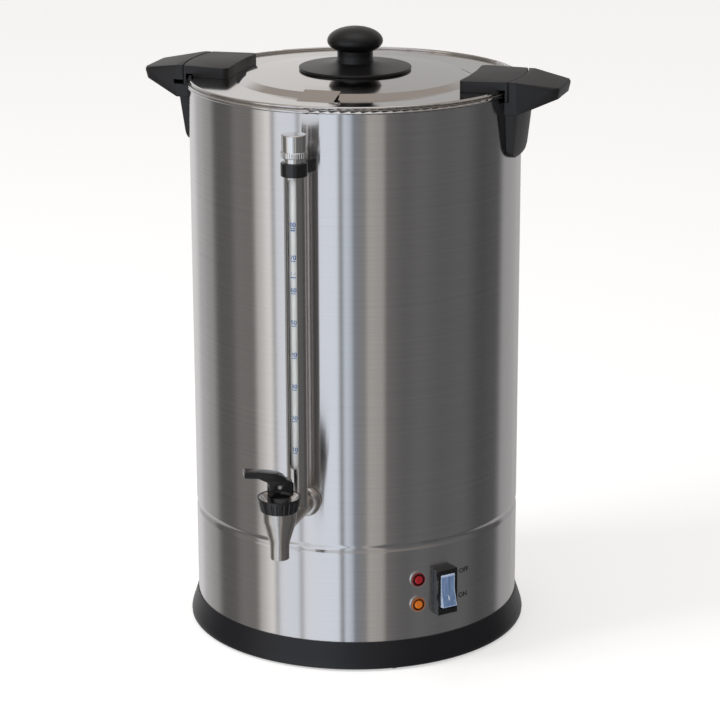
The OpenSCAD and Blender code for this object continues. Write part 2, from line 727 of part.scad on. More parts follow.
// A dished disc that lines the bonnet ring up to its rim and holds the hub down
module bonnet_disc() color("#c9c4bd") at_az(0) translate([spout_r, 0, 0]) turned([
    [hub_d / 2 - 2 + run, tap_top + neck_h], [dish_r - fit, tap_top + neck_h], [dish_r - fit, hub_z - 0.5],
    [bonnet_d / 2 - 0.9 - fit, bonnet_top - 0.3], [bonnet_d / 2 - 1.6, bonnet_top - 0.2],
    [hub_d / 2 + 1.4, hub_z], [hub_d / 2 - 2 + run, hub_z]]);

// The hub turns with the lever: it is held between the disc and the tap body's neck
module bonnet_hub() color("#111214") at_az(0) translate([spout_r, 0, 0]) difference() {
    union() {
        translate([0, 0, hub_z + 0.1]) cylinder(d = hub_d, h = hub_top - hub_z - 0.1);
        translate([0, 0, spigot_z]) cylinder(r = hub_d / 2 - 2, h = hub_z + 0.2 - spigot_z);
        translate([0, 0, spigot_z]) cylinder(r = chamber_top_r - run, h = tap_top + neck_h - run - spigot_z);
    }
    translate([0, 0, spigot_z - 1]) cylinder(r = stem_d / 2 + run, h = hub_top);
}

// A wound spring between the hub's spigot and the collar on the stem
spring_d = 1.1;
collar_z = seat_z + 8.4;
collar_t = 1.2;
collar_r = stem_d / 2 + 3;
spring_r = stem_d / 2 + 1.5;
spring_lo = collar_z + collar_t + spring_d / 2 + 0.1;
spring_hi = spigot_z - spring_d / 2 - 0.1;
spring_steps = 10;
spring_rise = (spring_hi - spring_lo) / (spring_turns * spring_steps);

module tap_spring() color("#9c9c9c") at_az(0) translate([spout_r, 0, 0])
    swept([for (i = [0 : spring_turns * spring_steps]) let (a = 360 * i / spring_steps)
        [spring_r * cos(a), spring_r * sin(a), spring_lo + spring_rise * i]], spring_d / 2, 6);

stem_top = pin_z + pin_d / 2 + 1.4;

module tap_stem() color("#c4c4c4") at_az(0) translate([spout_r, 0, 0]) difference() {
    union() {
        turned([[0, seat_z + 3], [stem_d / 2, seat_z + 3], [stem_d / 2, stem_top - 1],
            [stem_d / 2 - 0.9, stem_top], [0, stem_top]]);
        translate([0, 0, collar_z]) cylinder(r = collar_r, h = collar_t);
    }
    rotate([0, 0, lever_az]) translate([0, 8, pin_z]) rotate([90, 0, 0])
        cylinder(r = pin_d / 2 + fit, h = 16);
}

module seat_cup() color("#e9e6dd") at_az(0) translate([spout_r, 0, 0]) turned([
    [0, seat_z + 0.3], [cup_r - 0.4, seat_z + 0.3], [cup_r, seat_z + 1.4], [cup_r - 0.4, seat_z + 5],
    [stem_d / 2 + 1.6, collar_z], [stem_d / 2, collar_z], [stem_d / 2, seat_z + 3], [0, seat_z + 3]]);

module lever_pin() color("#d0d0d0") at_az(0) translate([spout_r, 0, pin_z]) rotate([0, 0, lever_az])
    translate([0, lever_w / 2 - 0.3, 0]) rotate([90, 0, 0]) cylinder(d = pin_d, h = lever_w - 0.6);

// Side outline of the lever: x towards its free end, z from the pin
arm_top = lever_rise + 9.4;
lever_side = [
    [toe_reach, -pin_h + 0.1], [toe_reach + 0.8, -pin_h + 1], [8.1, 2.6], [8.9, 4.2], [12, 5.8],
    [16, arm_top - lever_t - 1], [lever_reach - 0.8, arm_top - lever_t],
    [lever_reach, arm_top - lever_t + 0.8], [lever_reach, arm_top - 1.2], [lever_reach - 1.2, arm_top],
    [16, arm_top - 0.8],
    [4, 10.8], [0, 9.8], [-3.6, 7.6], [-6, 4.8], [-9.6, 3.6],
    [-10.4, 2.4], [-10.2, -pin_h + 1.2], [-9, -pin_h + 0.1]];

fork_half = stem_d / 2 + 0.3;

module tap_lever() color("#0e0f11") at_az(0) translate([spout_r, 0, pin_z]) rotate([0, 0, lever_az])
    difference() {
        translate([0, lever_w / 2, 0]) rotate([90, 0, 0]) linear_extrude(lever_w) polygon(lever_side);
        // the fork's gap for the stem, and the recess between toe and heel on either side
        translate([-12, -fork_half, -pin_h - 1]) cube([19, 2 * fork_half, pin_h + pin_d / 2 + 3.2]);
        translate([0, -fork_half, -pin_h - 1]) cube([12, 2 * fork_half, pin_h + 0.4]);
        for (s = [-1, 1])
            translate([-0.4, s * lever_w / 2 - 0.8, -pin_h - 1]) cube([5, 1.6, pin_h - 1.6]);
        translate([0, lever_w, 0]) rotate([90, 0, 0]) cylinder(r = pin_d / 2 + run, h = 2 * lever_w);
    }

// ---- gauge ----

module gauge_shield() color("#c6c2bd") at_az(0) translate([gauge_r, 0, 0]) difference() {
    translate([0, 0, socket_top]) cylinder(d = shield_d, h = shield_h);
    translate([0, 0, socket_top - 1]) cylinder(r = shield_d / 2 - shield_t, h = shield_h + 2);
    translate([0, 0, window_z + window_w / 2]) rod_x(window_w / 2, 0, shield_d);
    translate([0, 0, window_top - window_w / 2]) rod_x(window_w / 2, 0, shield_d);
    translate([0, -window_w / 2, window_z + window_w / 2])
        cube([shield_d, window_w, window_top - window_z - window_w]);
}

module gauge_glass() color("#dfe6e8", 0.5) at_az(0) translate([gauge_r, 0, socket_top - glass_seat])
    difference() {
        cylinder(d = glass_d, h = shield_h + glass_seat - 0.5);
        translate([0, 0, -1]) cylinder(r = glass_d / 2 - glass_t, h = shield_h + glass_seat + 1);
    }

module gauge_seal(z0, z1, r_out) color("#e3e0d8") at_az(0) translate([gauge_r, 0, 0])
    turned([[glass_d / 2, z0], [r_out, z0], [r_out, z1], [glass_d / 2, z1]]);
module gauge_lower_seal() gauge_seal(socket_top - glass_seat, socket_top - 2, glass_d / 2 + seal_t);
module gauge_upper_seal()
    gauge_seal(window_top + 1.5, shield_top - cap_plug_h - 0.5, shield_d / 2 - shield_t);

cap_neck_h = 3.4;

module gauge_cap() color("#e6e6e6") at_az(0) translate([gauge_r, 0, shield_top]) difference() {
    turned(concat(
        [[0, -cap_plug_h], [spigot_r, -cap_plug_h], [spigot_r, 0], [shield_d / 2 - 0.3, 0],
         [shield_d / 2 - 0.3, cap_neck_h], [cap_d / 2 + 0.2, cap_neck_h], [cap_d / 2 + 0.7, cap_neck_h + 0.4],
         [cap_d / 2 + 0.7, cap_neck_h - 0.4 + knurl_h], [cap_d / 2 + 0.2, cap_neck_h + knurl_h],
         [cap_d / 2 - 0.2, cap_neck_h + knurl_h]],
        arc(cap_d / 2 - 0.8, cap_neck_h - 0.8 + knurl_h + cap_h, 0.8, 0, 90, 4),
        [[0, cap_neck_h + 0.4 + knurl_h + cap_h]]));
    translate([0, 0, -cap_plug_h - 1]) cylinder(r = glass_d / 2 + fit, h = cap_plug_h + 7);
    around(knurl_count, cap_d / 2 + 0.9)
        translate([0, 0, cap_neck_h + 0.1]) cylinder(r = 0.45, h = knurl_h - 0.2);
}

clip_foot_t = 3.4;

module gauge_clip() color("#141517") at_az(0) translate([0, 0, clip_z - 0.4]) difference() {
    union() {
        translate([gauge_r, 0, 0]) cylinder(r = shield_d / 2 + fit + clip_t, h = clip_h);
        linear_extrude(clip_h) polygon([
            [body_r - 4, -clip_foot_w / 2], [body_r + clip_foot_t, -clip_foot_w / 2], [gauge_r - 6, -6],
            [gauge_r - 6, 6], [body_r + clip_foot_t, clip_foot_w / 2], [body_r - 4, clip_foot_w / 2]]);
    }
    shell_core();
    translate([gauge_r, 0, -1]) cylinder(r = shield_d / 2 + fit, h = clip_h + 2);
    translate([0, 0, clip_h / 2 + 0.4]) rod_x(clip_bore_d / 2 + fit, body_r - 10, body_r + 8.2);
}

module clip_screw() color("lightgray") at_az(0)
    translate([inner_r - 0.15, 0, clip_z + clip_h / 2]) screw_x(clip_bore_d, wall_t + 8, 8, 2);

// ---- controls ----

module switch_housing() color("#17181b") at_az(switch_az) translate([0, 0, switch_z]) difference() {
    union() {
        difference() {
            slab_x(bezel_w, bezel_h, body_r - 3, body_r + bezel_out);
            shell_core();
        }
        slab_x(2 * pocket_half_w + 2, 2 * pocket_half_h + 1.2, body_r - 24, body_r + 1);
    }
    slab_x(2 * pocket_half_w, 2 * pocket_half_h, body_r - 10, body_r + bezel_out + 1);
    translate([switch_pivot_r, 0, 0]) rotate([90, 0, 0])
        cylinder(r = axle_r + run, h = 2 * pocket_half_w + 1.6, center = true);
}

// The rocker at rest, its upper end pressed in
module switch_rocker() color("#9fb4cf") at_az(switch_az) translate([switch_pivot_r, 0, switch_z])
    rotate([0, -rocker_throw, 0]) {
        translate([0, rocker_w / 2, 0]) rotate([90, 0, 0]) linear_extrude(rocker_w) polygon([
            [-1, -rocker_half + 1.5], [1, -rocker_half], [rocker_face + rocker_lip, -rocker_half],
            [rocker_face, 0], [rocker_face + rocker_lip, rocker_half], [1, rocker_half],
            [-1, rocker_half - 1.5]]);
        rotate([90, 0, 0]) cylinder(r = axle_r, h = 2 * pocket_half_w + 1.2, center = true);
    }

module lamp_lens(z, tint) color(tint) at_az(lamp_az) translate([0, 0, z]) {
    difference() {
        rotate([0, 90, 0]) turned([
            [0, body_r - 3], [lens_d / 2, body_r - 3], [lens_d / 2, body_r + 1.6],
            [lens_d / 2 - 0.6, body_r + 2.2], [lens_d * 0.3, body_r + 2.6], [0, body_r + 2.8]]);
        shell_core();
    }
    rod_x(lamp_barrel_r, body_r - 20, body_r + 1);
}
module lamp_red() lamp_lens(lamp_zs[0], "#8c1420");
module lamp_amber() lamp_lens(lamp_zs[1], "#d9701e");

module lamp_rims() color("#dddddd") for (z = lamp_zs) at_az(lamp_az) difference() {
    translate([0, 0, z]) rod_x(lens_d / 2 + fit + lamp_rim_w, body_r - 3, body_r + 1.4);
    translate([0, 0, z]) rod_x(lens_d / 2 + fit, body_r - 4, body_r + 2);
    shell_core();
}

module lamp_nuts() color("gray") for (z = lamp_zs) at_az(lamp_az) translate([0, 0, z]) difference() {
    hex_x(2 * lamp_barrel_r + 4, inner_r - 3.4, inner_r - 0.4);
    rod_x(lamp_barrel_r + fit, inner_r - 5, inner_r);
}

// ---- heating and wiring under the floor ----

plate_z = floor_z - plate_t;
inside_z = cover_z + cover_t;

module heater_plate() color("#b9bcc0") difference() {
    turned([[element_r - plate_side, plate_z], [element_r + plate_side, plate_z],
        [element_r + plate_side, floor_z], [element_r - plate_side, floor_z]]);
    translate([0, 0, plate_z]) rotate_extrude() translate([element_r, 0]) circle(d = element_d + 2 * bedding);
}

// A tubular element, 320 degrees of a ring, its two ends turned down
module ring_element() color("#8f8a84") translate([0, 0, plate_z]) {
    rotate([0, 0, 110]) rotate_extrude(angle = 320) translate([element_r, 0]) circle(d = element_d);
    for (a = [110, 70]) rotate([0, 0, a])
        translate([element_r, 0, -element_end]) cylinder(d = element_d, h = element_end);
}

module well_heater() color("#a39e98") turned([
    [8, well_z - well_heater_h], [well_r - 5, well_z - well_heater_h], [well_r - 5, well_z], [8, well_z]]);

// A disc thermostat with its ears, pressed to the floor's underside
module thermostat(az) at_az(az) translate([stud_r, 0, floor_z - thermostat_h]) {
    cylinder(r = thermostat_r, h = thermostat_h);
    translate([-2.5, -thermostat_r - 5, -1]) cube([5, 2 * thermostat_r + 10, 1]);
    for (s = [-1, 1]) translate([-0.4, s * thermostat_r / 2 - 2, -9]) cube([0.8, 4, 8.4]);
}
module boil_thermostat() color("#d8c9a8") thermostat(28);
module warm_thermostat() color("#c9b48c") thermostat(-28);

collar_out_r = reset_d / 2 + 2.4;
blade_off = 6;
blade_h = 8;

module thermal_cutout() color("#4a4038") difference() {
    union() {
        translate([cutout_x - cutout_w / 2, cutout_y - cutout_d / 2, inside_z])
            cube([cutout_w, cutout_d, cutout_h]);
        translate([cutout_x, cutout_y, cover_z - 1.6]) cylinder(r = collar_out_r, h = cover_t + 2);
        for (s = [-1, 1])
            translate([cutout_x + s * blade_off - 2, cutout_y - 0.4, inside_z + cutout_h])
                cube([4, 0.8, blade_h]);
    }
    translate([cutout_x, cutout_y, cover_z - 2]) cylinder(r = reset_d / 2 + run, h = 9);
}

// Pushed in from below to reset the cut-out
module reset_button() color("#b01818")
    translate([cutout_x, cutout_y, foot_gap + 1]) cylinder(d = reset_d, h = cover_z + 1.4 - foot_gap);

terminal_half = 2.5 * terminal_pitch;

module terminal_block() color("#e9e5d8") difference() {
    translate([block_x - terminal_half, block_y - terminal_h / 2, inside_z])
        cube([2 * terminal_half, terminal_h, terminal_h]);
    for (i = [-2 : 2])
        translate([block_x + terminal_pitch * i, block_y, inside_z + terminal_h - 10])
            cylinder(r = 3, h = 12);
}

inlet_face = body_r + inlet_out;
recess_floor = inlet_face - recess_depth;
inlet_body_w = recess_w + 2 * recess_wall;
inlet_body_h = recess_h + 2 * recess_wall;
inlet_screw_d = 3.4;
// The blades' places across and up, the earth blade in the middle
blade_places = [[-blade_pitch, 0], [0, 3.8], [blade_pitch, 0]];

// The places that the wires join
block_top = inside_z + terminal_h;
cutout_top = inside_z + cutout_h + blade_h;
element_foot = plate_z - element_end;
inlet_tail_r = recess_floor - 12;
switch_back_r = body_r - 24;
function on_az(az, r, z) = [r * sin(az), -r * cos(az), z];
function on_block(i) = [block_x + terminal_pitch * (i + 0.42), block_y, block_top];
function on_element(a) = [element_r * cos(a), element_r * sin(a), element_foot];
function on_cutout(side) = [cutout_x + side * blade_off, cutout_y, cutout_top];

// A wire from a to b that leaves each end squarely, by a lead in the direction given there
module wire(a, lead_a, b, lead_b) swept(
    concat([a], bezier(a + unit(lead_a), a + lead_a, b + lead_b, b + unit(lead_b), 12), [b]),
    wire_d / 2, 8, [0.31, 0.2, 0.05]);

module wiring() color("#d9d4c8") {
    // from the inlet's blades to the terminal block
    wire(on_az(180, inlet_tail_r, inlet_z) - [blade_pitch, 0, 0], [0, -24, 0], on_block(-2), [0, 0, 26]);
    wire(on_az(180, inlet_tail_r, inlet_z) + [blade_pitch, 0, 0], [0, -30, 0], on_block(-1), [0, 0, 30]);
    // from the terminal block to the switch, and from there to the cut-out
    wire(on_block(1), [0, 0, 34], on_az(switch_az, switch_back_r, switch_z + 8), on_az(switch_az, -44, 0));
    wire(on_az(switch_az, switch_back_r, switch_z - 8), on_az(switch_az, -34, 0), on_cutout(1), [0, 0, 16]);
    // through the ring element and back to the terminal block
    wire(on_cutout(-1), [0, 0, 18], on_element(70), [0, 0, -22]);
    wire(on_element(110), [0, 0, -26], on_block(0), [0, 0, 24]);
}

module power_inlet() color("#1b1c1f") at_az(180) translate([0, 0, inlet_z]) difference() {
    union() {
        difference() {
            slab_x(inlet_pitch + 2 * inlet_ear, recess_h + 8.6, body_r - 6, inlet_face);
            shell_core(body_r + fit);
        }
        slab_x(inlet_body_w, inlet_body_h, recess_floor - 8, inlet_face - 1);
    }
    slab_x(recess_w, recess_h, recess_floor, inlet_face + 1);
    for (s = [-1, 1])
        translate([0, s * inlet_pitch / 2, 0]) rod_x(inlet_screw_d / 2 + 0.1, body_r - 10, inlet_face + 1);
    for (p = blade_places) translate([0, p[0], p[1]])
        slab_x(blade_w + 2 * fit, blade_t + 2 * fit, recess_floor - 9, recess_floor + 1);
}

module inlet_pins() color("#cfb46a") at_az(180) translate([0, 0, inlet_z])
    for (p = blade_places) translate([0, p[0], p[1]])
        slab_x(blade_w, blade_t, inlet_tail_r, recess_floor + 15);

module inlet_screws() color("lightgray") at_az(180) for (s = [-1, 1])
    translate([inlet_face, s * inlet_pitch / 2, inlet_z]) rotate([0, 180, 0])
        screw_x(inlet_screw_d, 12, 6, 1.6);

// ---- percolator ----

module pump_foot() color("#d2d2d0") difference() {
    turned([
        [tube_d / 2 + 0.9, perc_floor + 6], [well_r - 9, perc_floor], [well_r - 7.4, perc_floor],
        [well_r - 7.4, perc_floor + 1], [tube_d / 2 + 2, perc_floor + 8],
        [tube_d / 2 + 1, perc_floor + foot_rise], [tube_d / 2 + fit, perc_floor + foot_rise],
        [tube_d / 2 + fit, perc_floor + 6]]);
    // ways in for the water, round the foot's rim
    around(6, well_r - 9) translate([-4, -3, perc_floor - 1]) cube([8, 6, 3]);
}

module pump_tube() color("#dadad8") difference() {
    union() {
        translate([0, 0, perc_floor + 6]) cylinder(d = tube_d, h = tube_top - perc_floor - 6);
        translate([0, 0, basket_z - 2]) cylinder(r = tube_d / 2 + 3, h = 2);
    }
    translate([0, 0, washer_seat]) cylinder(r = tube_d / 2 - tube_t, h = tube_top - perc_floor);
    translate([0, 0, perc_floor + 5]) cylinder(r = tube_d / 2 - tube_t - 1.6, h = 5);
}

// The loose valve washer on its seat in the foot of the tube
module pump_washer() color("#c9a86a")
    translate([0, 0, washer_seat + fit]) cylinder(r = tube_d / 2 - tube_t - free, h = 0.9);

// A disc of sheet with rings of holes, and a hole for the pump tube
module strainer(r, rows) difference() {
    cylinder(r = r, h = basket_t);
    translate([0, 0, -1]) cylinder(r = sleeve_r, h = 3);
    for (i = [1 : rows]) around(6 * i + 6, r * (0.16 + 0.74 * i / rows), 8 * i)
        translate([0, 0, -1]) cylinder(d = strain_d, h = 3);
}

basket_r = basket_d / 2;
sleeve_r = tube_d / 2 + 0.3;
basket_top = basket_z + basket_h + basket_t;

module coffee_basket() color("#cfcfcd") {
    translate([0, 0, basket_z]) strainer(basket_r, 3);
    turned([[basket_r - basket_t, basket_z + basket_t], [basket_r, basket_z + basket_t],
        [basket_r, basket_top - basket_t], [basket_r + 2, basket_top - basket_t], [basket_r + 2, basket_top],
        [basket_r - basket_t, basket_top]]);
    turned([[sleeve_r, basket_z + basket_t], [sleeve_r + basket_t, basket_z + basket_t],
        [sleeve_r + basket_t, basket_top - 9], [sleeve_r, basket_top - 9]]);
}

module basket_cover() color("#d6d6d4") {
    translate([0, 0, basket_top]) strainer(basket_r + 1, 3);
    turned([[basket_r, basket_top + basket_t], [basket_r + 1, basket_top + basket_t],
        [basket_r + 1, basket_top + 5], [basket_r, basket_top + 5]]);
}

// ---- lid ----

gasket_r = inner_r - free;
gasket_top = lid_flange_top - lid_t - fit;

module lid_gasket() color("#d9d4c9") turned([
    [gasket_r - gasket_w, rim_z - 2.5], [gasket_r, rim_z - 2.5],
    [gasket_r, gasket_top], [gasket_r - gasket_w, gasket_top]]);

lid_rs = [for (i = [0 : 5]) lid_dome_r * i / 5];

module lid_pan() color("#d7d5d2") difference() {
    union() {
        difference() {
            turned(concat(
                [for (r = lid_rs) [r, lid_z(r)]],
                [[lid_step_r, lid_flange_top], [lid_bead_c, lid_flange_top],
                 [lid_bead_c, lid_flange_top - lid_t], [lid_step_r, lid_flange_top - lid_t]],
                [for (i = [5 : -1 : 0]) [lid_rs[i], lid_z(lid_rs[i]) - lid_t]]));
            // the steam's way out under the louvre
            at_az(0) translate([lid_dome_r - 1, -louvre_w / 2 + 1, lid_flange_top - 2])
                cube([5, louvre_w - 2, lid_step_h + 4]);
        }
        rotate_extrude() translate([lid_bead_c, lid_bead_z]) circle(d = lid_bead_d);
        // the louvre: a flat hood over the step, open towards the knob
        at_az(0) translate([0, louvre_w / 2, 0]) rotate([90, 0, 0]) linear_extrude(louvre_w) polygon([
            [lid_dome_r - 2, lid_step_top + louvre_h - 0.4], [lid_dome_r - 2, lid_step_top + louvre_h + 0.2],
            [lid_step_r + louvre_run, lid_flange_top], [lid_step_r + louvre_run - 1.5, lid_flange_top - 0.4]]);
    }
    translate([0, 0, lid_top - 3]) cylinder(r = knob_screw_d / 2 + 0.2, h = 6);
    for (az = [-90, 90], s = [-1, 1])
        at_az(az) translate([block_screw_r, s * block_screw_y, rim_z - 5])
            cylinder(r = block_screw_d / 2 + 0.2, h = 12);
}

// A lid block in the local frame of the right-hand one
module lid_block() color("#303238") difference() {
    intersection() {
        turned([
            [block_in_x - 6, lid_flange_top], [lid_bead_in - 0.5, lid_flange_top],
            [lid_bead_in - 0.5, lid_bead_top + free], [skirt_in_r, lid_bead_top + free],
            [skirt_in_r, hook_z], [block_out_r, hook_z], [block_out_r, handle_top - 0.6],
            [block_out_r - 0.6, handle_top], [block_in_x + 3, handle_top - 0.2],
            [block_in_x - 6, handle_top - 1]]);
        linear_extrude(rim_z * 1.5) polygon(concat(
            [[block_out_r + 3, handle_w / 2 - 0.6]],
            arc(block_in_x + 5, block_in_w / 2 - 5, 5, 86, 172, 5),
            [[block_in_x + 1.6, 12], [block_in_x + 1.6, -12]],
            arc(block_in_x + 5, -block_in_w / 2 + 5, 5, 188, 274, 5),
            [[block_out_r + 3, -handle_w / 2 + 0.6]]));
    }
    for (s = [-1, 1])
        translate([block_screw_r, s * block_screw_y, rim_z]) cylinder(r = block_screw_d / 2 + fit, h = 8.4);
}
module lid_block_left() at_az(-90) lid_block();
module lid_block_right() at_az(90) lid_block();

module lid_block_screws() color("lightgray") for (az = [-90, 90], s = [-1, 1])
    at_az(az) translate([block_screw_r, s * block_screw_y, lid_flange_top - lid_t - fit]) rotate([0, -90, 0])
        screw_x(block_screw_d, 7, 7, 2);

module knob_disc() color("#26282c") difference() {
    rim_z0 = lid_z(knob_disc_d / 2) + 0.3;
    turned(concat(
        [[0, lid_top], [12, lid_top], [14, lid_top + 0.9], [knob_disc_d / 2 - 4, rim_z0 + 0.4],
         [knob_disc_d / 2 - 3.6, rim_z0], [knob_disc_d / 2 - 0.4, rim_z0]],
        arc(knob_disc_d / 2 - 0.8, rim_z0 + knob_edge_h - 0.8, 0.8, 0, 90, 4),
        flow([[knob_disc_d / 2 - 5, rim_z0 + knob_edge_h + 0.4],
            [knob_neck_d / 2 + 14, lid_top + knob_hub_h / 2], [knob_neck_d / 2 + 6, lid_top + knob_hub_h - 1.2],
            [knob_neck_d / 2 + 1.5, lid_top + knob_hub_h]], 3),
        [[0, lid_top + knob_hub_h]]));
    translate([0, 0, lid_top - 1]) cylinder(r = knob_screw_d / 2 + fit, h = 9);
}

knob_z = lid_top + knob_h;
// The widest level of the head, its depth below and its dome above
knob_over = knob_head_t * 0.53;
knob_under = knob_head_t - knob_over;
head_c = knob_z - knob_over;
neck_angle = acos(knob_neck_d / knob_head_d);

// The knob's head and neck with the screw moulded into it
module knob_assembly() {
    color("#1d1e21") difference() {
        turned(concat(
            [[0, lid_top + knob_hub_h]],
            flow([[knob_neck_d / 2 + 0.4, lid_top + knob_hub_h],
                [knob_neck_d / 2 - 0.6, lid_top + knob_hub_h + 4.5],
                [knob_neck_d / 2 - 0.4, head_c - knob_under * sin(neck_angle)]], 3),
            [for (a = [-neck_angle + 5 : 7.5 : 85])
                [knob_head_d / 2 * cos(a), head_c + (a < 0 ? knob_under : knob_over) * sin(a)]],
            [[0, knob_z]]));
        translate([0, 0, lid_top + knob_hub_h - 1.5]) cylinder(r = knob_screw_d / 2 + fit, h = 21.5);
    }
    color("lightgray") translate([0, 0, lid_top - lid_t - 0.05]) rotate([0, -90, 0])
        screw_x(knob_screw_d, 24, 11, 2.4);
}

body_shell();
tank_floor();
tie_studs();
stud_nuts();
base_ring();
feet();
bottom_cover();
handle_left();
handle_right();
handle_screws();
tap_shank();
shank_flange();
shank_seal();
shank_nut();
tap_body();
bonnet_ring();
bonnet_disc();
bonnet_hub();
tap_spring();
tap_stem();
seat_cup();
lever_pin();
tap_lever();
gauge_shield();
gauge_glass();
gauge_lower_seal();
gauge_upper_seal();
gauge_cap();
gauge_clip();
clip_screw();
switch_housing();
switch_rocker();
lamp_red();
lamp_amber();
lamp_rims();
lamp_nuts();
heater_plate();
ring_element();
well_heater();
boil_thermostat();
warm_thermostat();
thermal_cutout();
reset_button();
terminal_block();
wiring();
power_inlet();
inlet_pins();
inlet_screws();
pump_foot();
pump_tube();
pump_washer();
coffee_basket();
basket_cover();
lid_gasket();
lid_pan();
lid_block_left();
lid_block_right();
lid_block_screws();
knob_disc();
knob_assembly();
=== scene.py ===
import math

import bpy
from mathutils import Matrix, Vector


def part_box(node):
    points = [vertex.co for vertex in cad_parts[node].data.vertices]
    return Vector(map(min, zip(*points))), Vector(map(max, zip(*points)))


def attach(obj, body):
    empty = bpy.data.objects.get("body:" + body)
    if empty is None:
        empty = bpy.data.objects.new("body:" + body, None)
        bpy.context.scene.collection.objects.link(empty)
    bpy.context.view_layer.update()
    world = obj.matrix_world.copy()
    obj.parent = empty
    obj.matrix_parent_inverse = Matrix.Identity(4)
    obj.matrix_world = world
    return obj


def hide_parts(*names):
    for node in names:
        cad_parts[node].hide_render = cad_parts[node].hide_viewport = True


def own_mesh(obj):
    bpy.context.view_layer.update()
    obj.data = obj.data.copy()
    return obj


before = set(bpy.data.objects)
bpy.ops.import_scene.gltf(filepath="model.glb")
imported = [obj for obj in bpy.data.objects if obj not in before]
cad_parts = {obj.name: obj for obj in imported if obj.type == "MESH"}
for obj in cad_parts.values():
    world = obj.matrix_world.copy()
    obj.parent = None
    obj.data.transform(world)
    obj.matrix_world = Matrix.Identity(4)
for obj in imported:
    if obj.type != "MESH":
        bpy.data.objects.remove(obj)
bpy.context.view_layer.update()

# ---------------------------------------------------------------- camera
# The place from which the photograph was taken: about two metres off, a little right of the tap
# and above the lid, with a long lens. The angles are its heading, its tilt and a slight roll.
camera_data = bpy.data.cameras.new("camera")
camera_data.lens = 133.7
camera_data.sensor_width = 36
camera_data.clip_end = 30
camera = bpy.data.objects.new("camera", camera_data)
bpy.context.collection.objects.link(camera)
camera_place = (0.6102, -1.9712, 0.8268)
heading = math.radians(17.115)
tilt = math.radians(73.44)
roll = math.radians(-0.17)
camera.matrix_world = (Matrix.Translation(camera_place) @ Matrix.Rotation(heading, 4, "Z")
                       @ Matrix.Rotation(tilt, 4, "X") @ Matrix.Rotation(roll, 4, "Z"))
bpy.context.scene.camera = camera
bpy.context.scene.view_settings.view_transform = "Standard"

# ---------------------------------------------------------------- studio
# A light tent stands round the urn: white cloth walls with darker gaps, which the steel shows as
# upright bands, under a warm grey belt and a white roof. The camera and the glass see plain white.
world = bpy.data.worlds.new("light_tent")
bpy.context.scene.world = world
world.use_nodes = True
nodes, links = world.node_tree.nodes, world.node_tree.links
nodes.clear()


# One step of arithmetic on sockets and numbers. It gives the socket of its result.
def reckon(nodes, links, operation, *values):
    step = nodes.new("ShaderNodeMath")
    step.operation = operation
    for socket, value in zip(step.inputs, values):
        if isinstance(value, (int, float)):
            socket.default_value = value
        else:
            links.new(value, socket)
    return step.outputs[0]


# A colour ramp that a value runs along, with a place and a colour for each stop.
def ramp(nodes, links, value, stops, interpolation="LINEAR"):
    shade = nodes.new("ShaderNodeValToRGB")
    shade.color_ramp.interpolation = interpolation
    elements = shade.color_ramp.elements
    elements.remove(elements[-1])
    for i, (place, colour) in enumerate(stops):
        stop = elements[0] if i == 0 else elements.new(place)
        stop.position = place
        stop.color = colour
    links.new(value, shade.inputs["Fac"])
    return shade.outputs["Color"]


# Which way a ray goes: its angle round the urn from the camera, and how steeply it rises.
tent_front = math.radians(17.0)
direction = nodes.new("ShaderNodeTexCoord")
split = nodes.new("ShaderNodeSeparateXYZ")
links.new(direction.outputs["Generated"], split.inputs[0])
rise = split.outputs["Z"]
towards_front = reckon(nodes, links, "MULTIPLY", split.outputs["Y"], -1)
angle = reckon(nodes, links, "ARCTAN2", split.outputs["X"], towards_front)
turned = reckon(nodes, links, "SUBTRACT", angle, tent_front)
share = nodes.new("ShaderNodeMapRange")
share.inputs["From Min"].default_value = -math.pi
share.inputs["From Max"].default_value = math.pi
links.new(reckon(nodes, links, "WRAP", turned, math.pi, -math.pi), share.inputs["Value"])

# Each stop of the wall: the angle in degrees, how bright it is there, and how warm.
wall_stops = [
    (-180, 0.68, 0.15), (-152, 0.70, 0.00), (-138, 0.46, 0.00), (-122, 0.34, 0.10),
    (-111, 0.11, 0.15), (-98, 0.12, 0.20), (-90, 0.19, 0.30), (-76, 0.18, 0.30),
    (-71, 0.56, 0.25), (-61, 0.86, 0.15), (-58.5, 0.26, 0.00), (-56, 0.84, -0.50),
    (-42, 0.82, -0.60), (-39.5, 0.34, 0.00), (-37, 0.86, -0.50), (-13, 0.86, -0.70),
    (-10, 0.20, 0.00), (-7.5, 0.74, -0.90), (-3.5, 0.60, -0.90), (-1, 0.25, -0.80),
    (6, 0.25, 0.00), (9, 0.42, 0.40), (18, 0.38, 0.40), (22, 0.16, 0.10),
    (34, 0.125, 0.00), (46, 0.14, 0.00), (62, 0.12, -0.10), (80, 0.13, -0.10),
    (98, 0.085, 0.00), (116, 0.10, 0.00), (128, 0.36, 0.00), (158, 0.44, 0.10)]
red_gain = 0.10
blue_loss = 0.14
wall = ramp(nodes, links, share.outputs["Result"], [
    ((degrees + 180) / 360, (level * (1 + red_gain * warmth), level, level * (1 - blue_loss * warmth), 1))
    for degrees, level, warmth in wall_stops], "EASE")
belt_share = ramp(nodes, links, rise, [(0.36, (0, 0, 0, 1)), (0.56, (1, 1, 1, 1))])
belt_and_roof = ramp(nodes, links, rise, [(0.86, (0.36, 0.325, 0.295, 1)), (0.95, (0.95, 0.95, 0.96, 1))])
tent = nodes.new("ShaderNodeMix")
tent.data_type = "RGBA"
links.new(belt_share, tent.inputs["Factor"])
links.new(wall, tent.inputs["A"])
links.new(belt_and_roof, tent.inputs["B"])
tent_light = nodes.new("ShaderNodeBackground")
links.new(tent.outputs["Result"], tent_light.inputs["Color"])
white_page = nodes.new("ShaderNodeBackground")
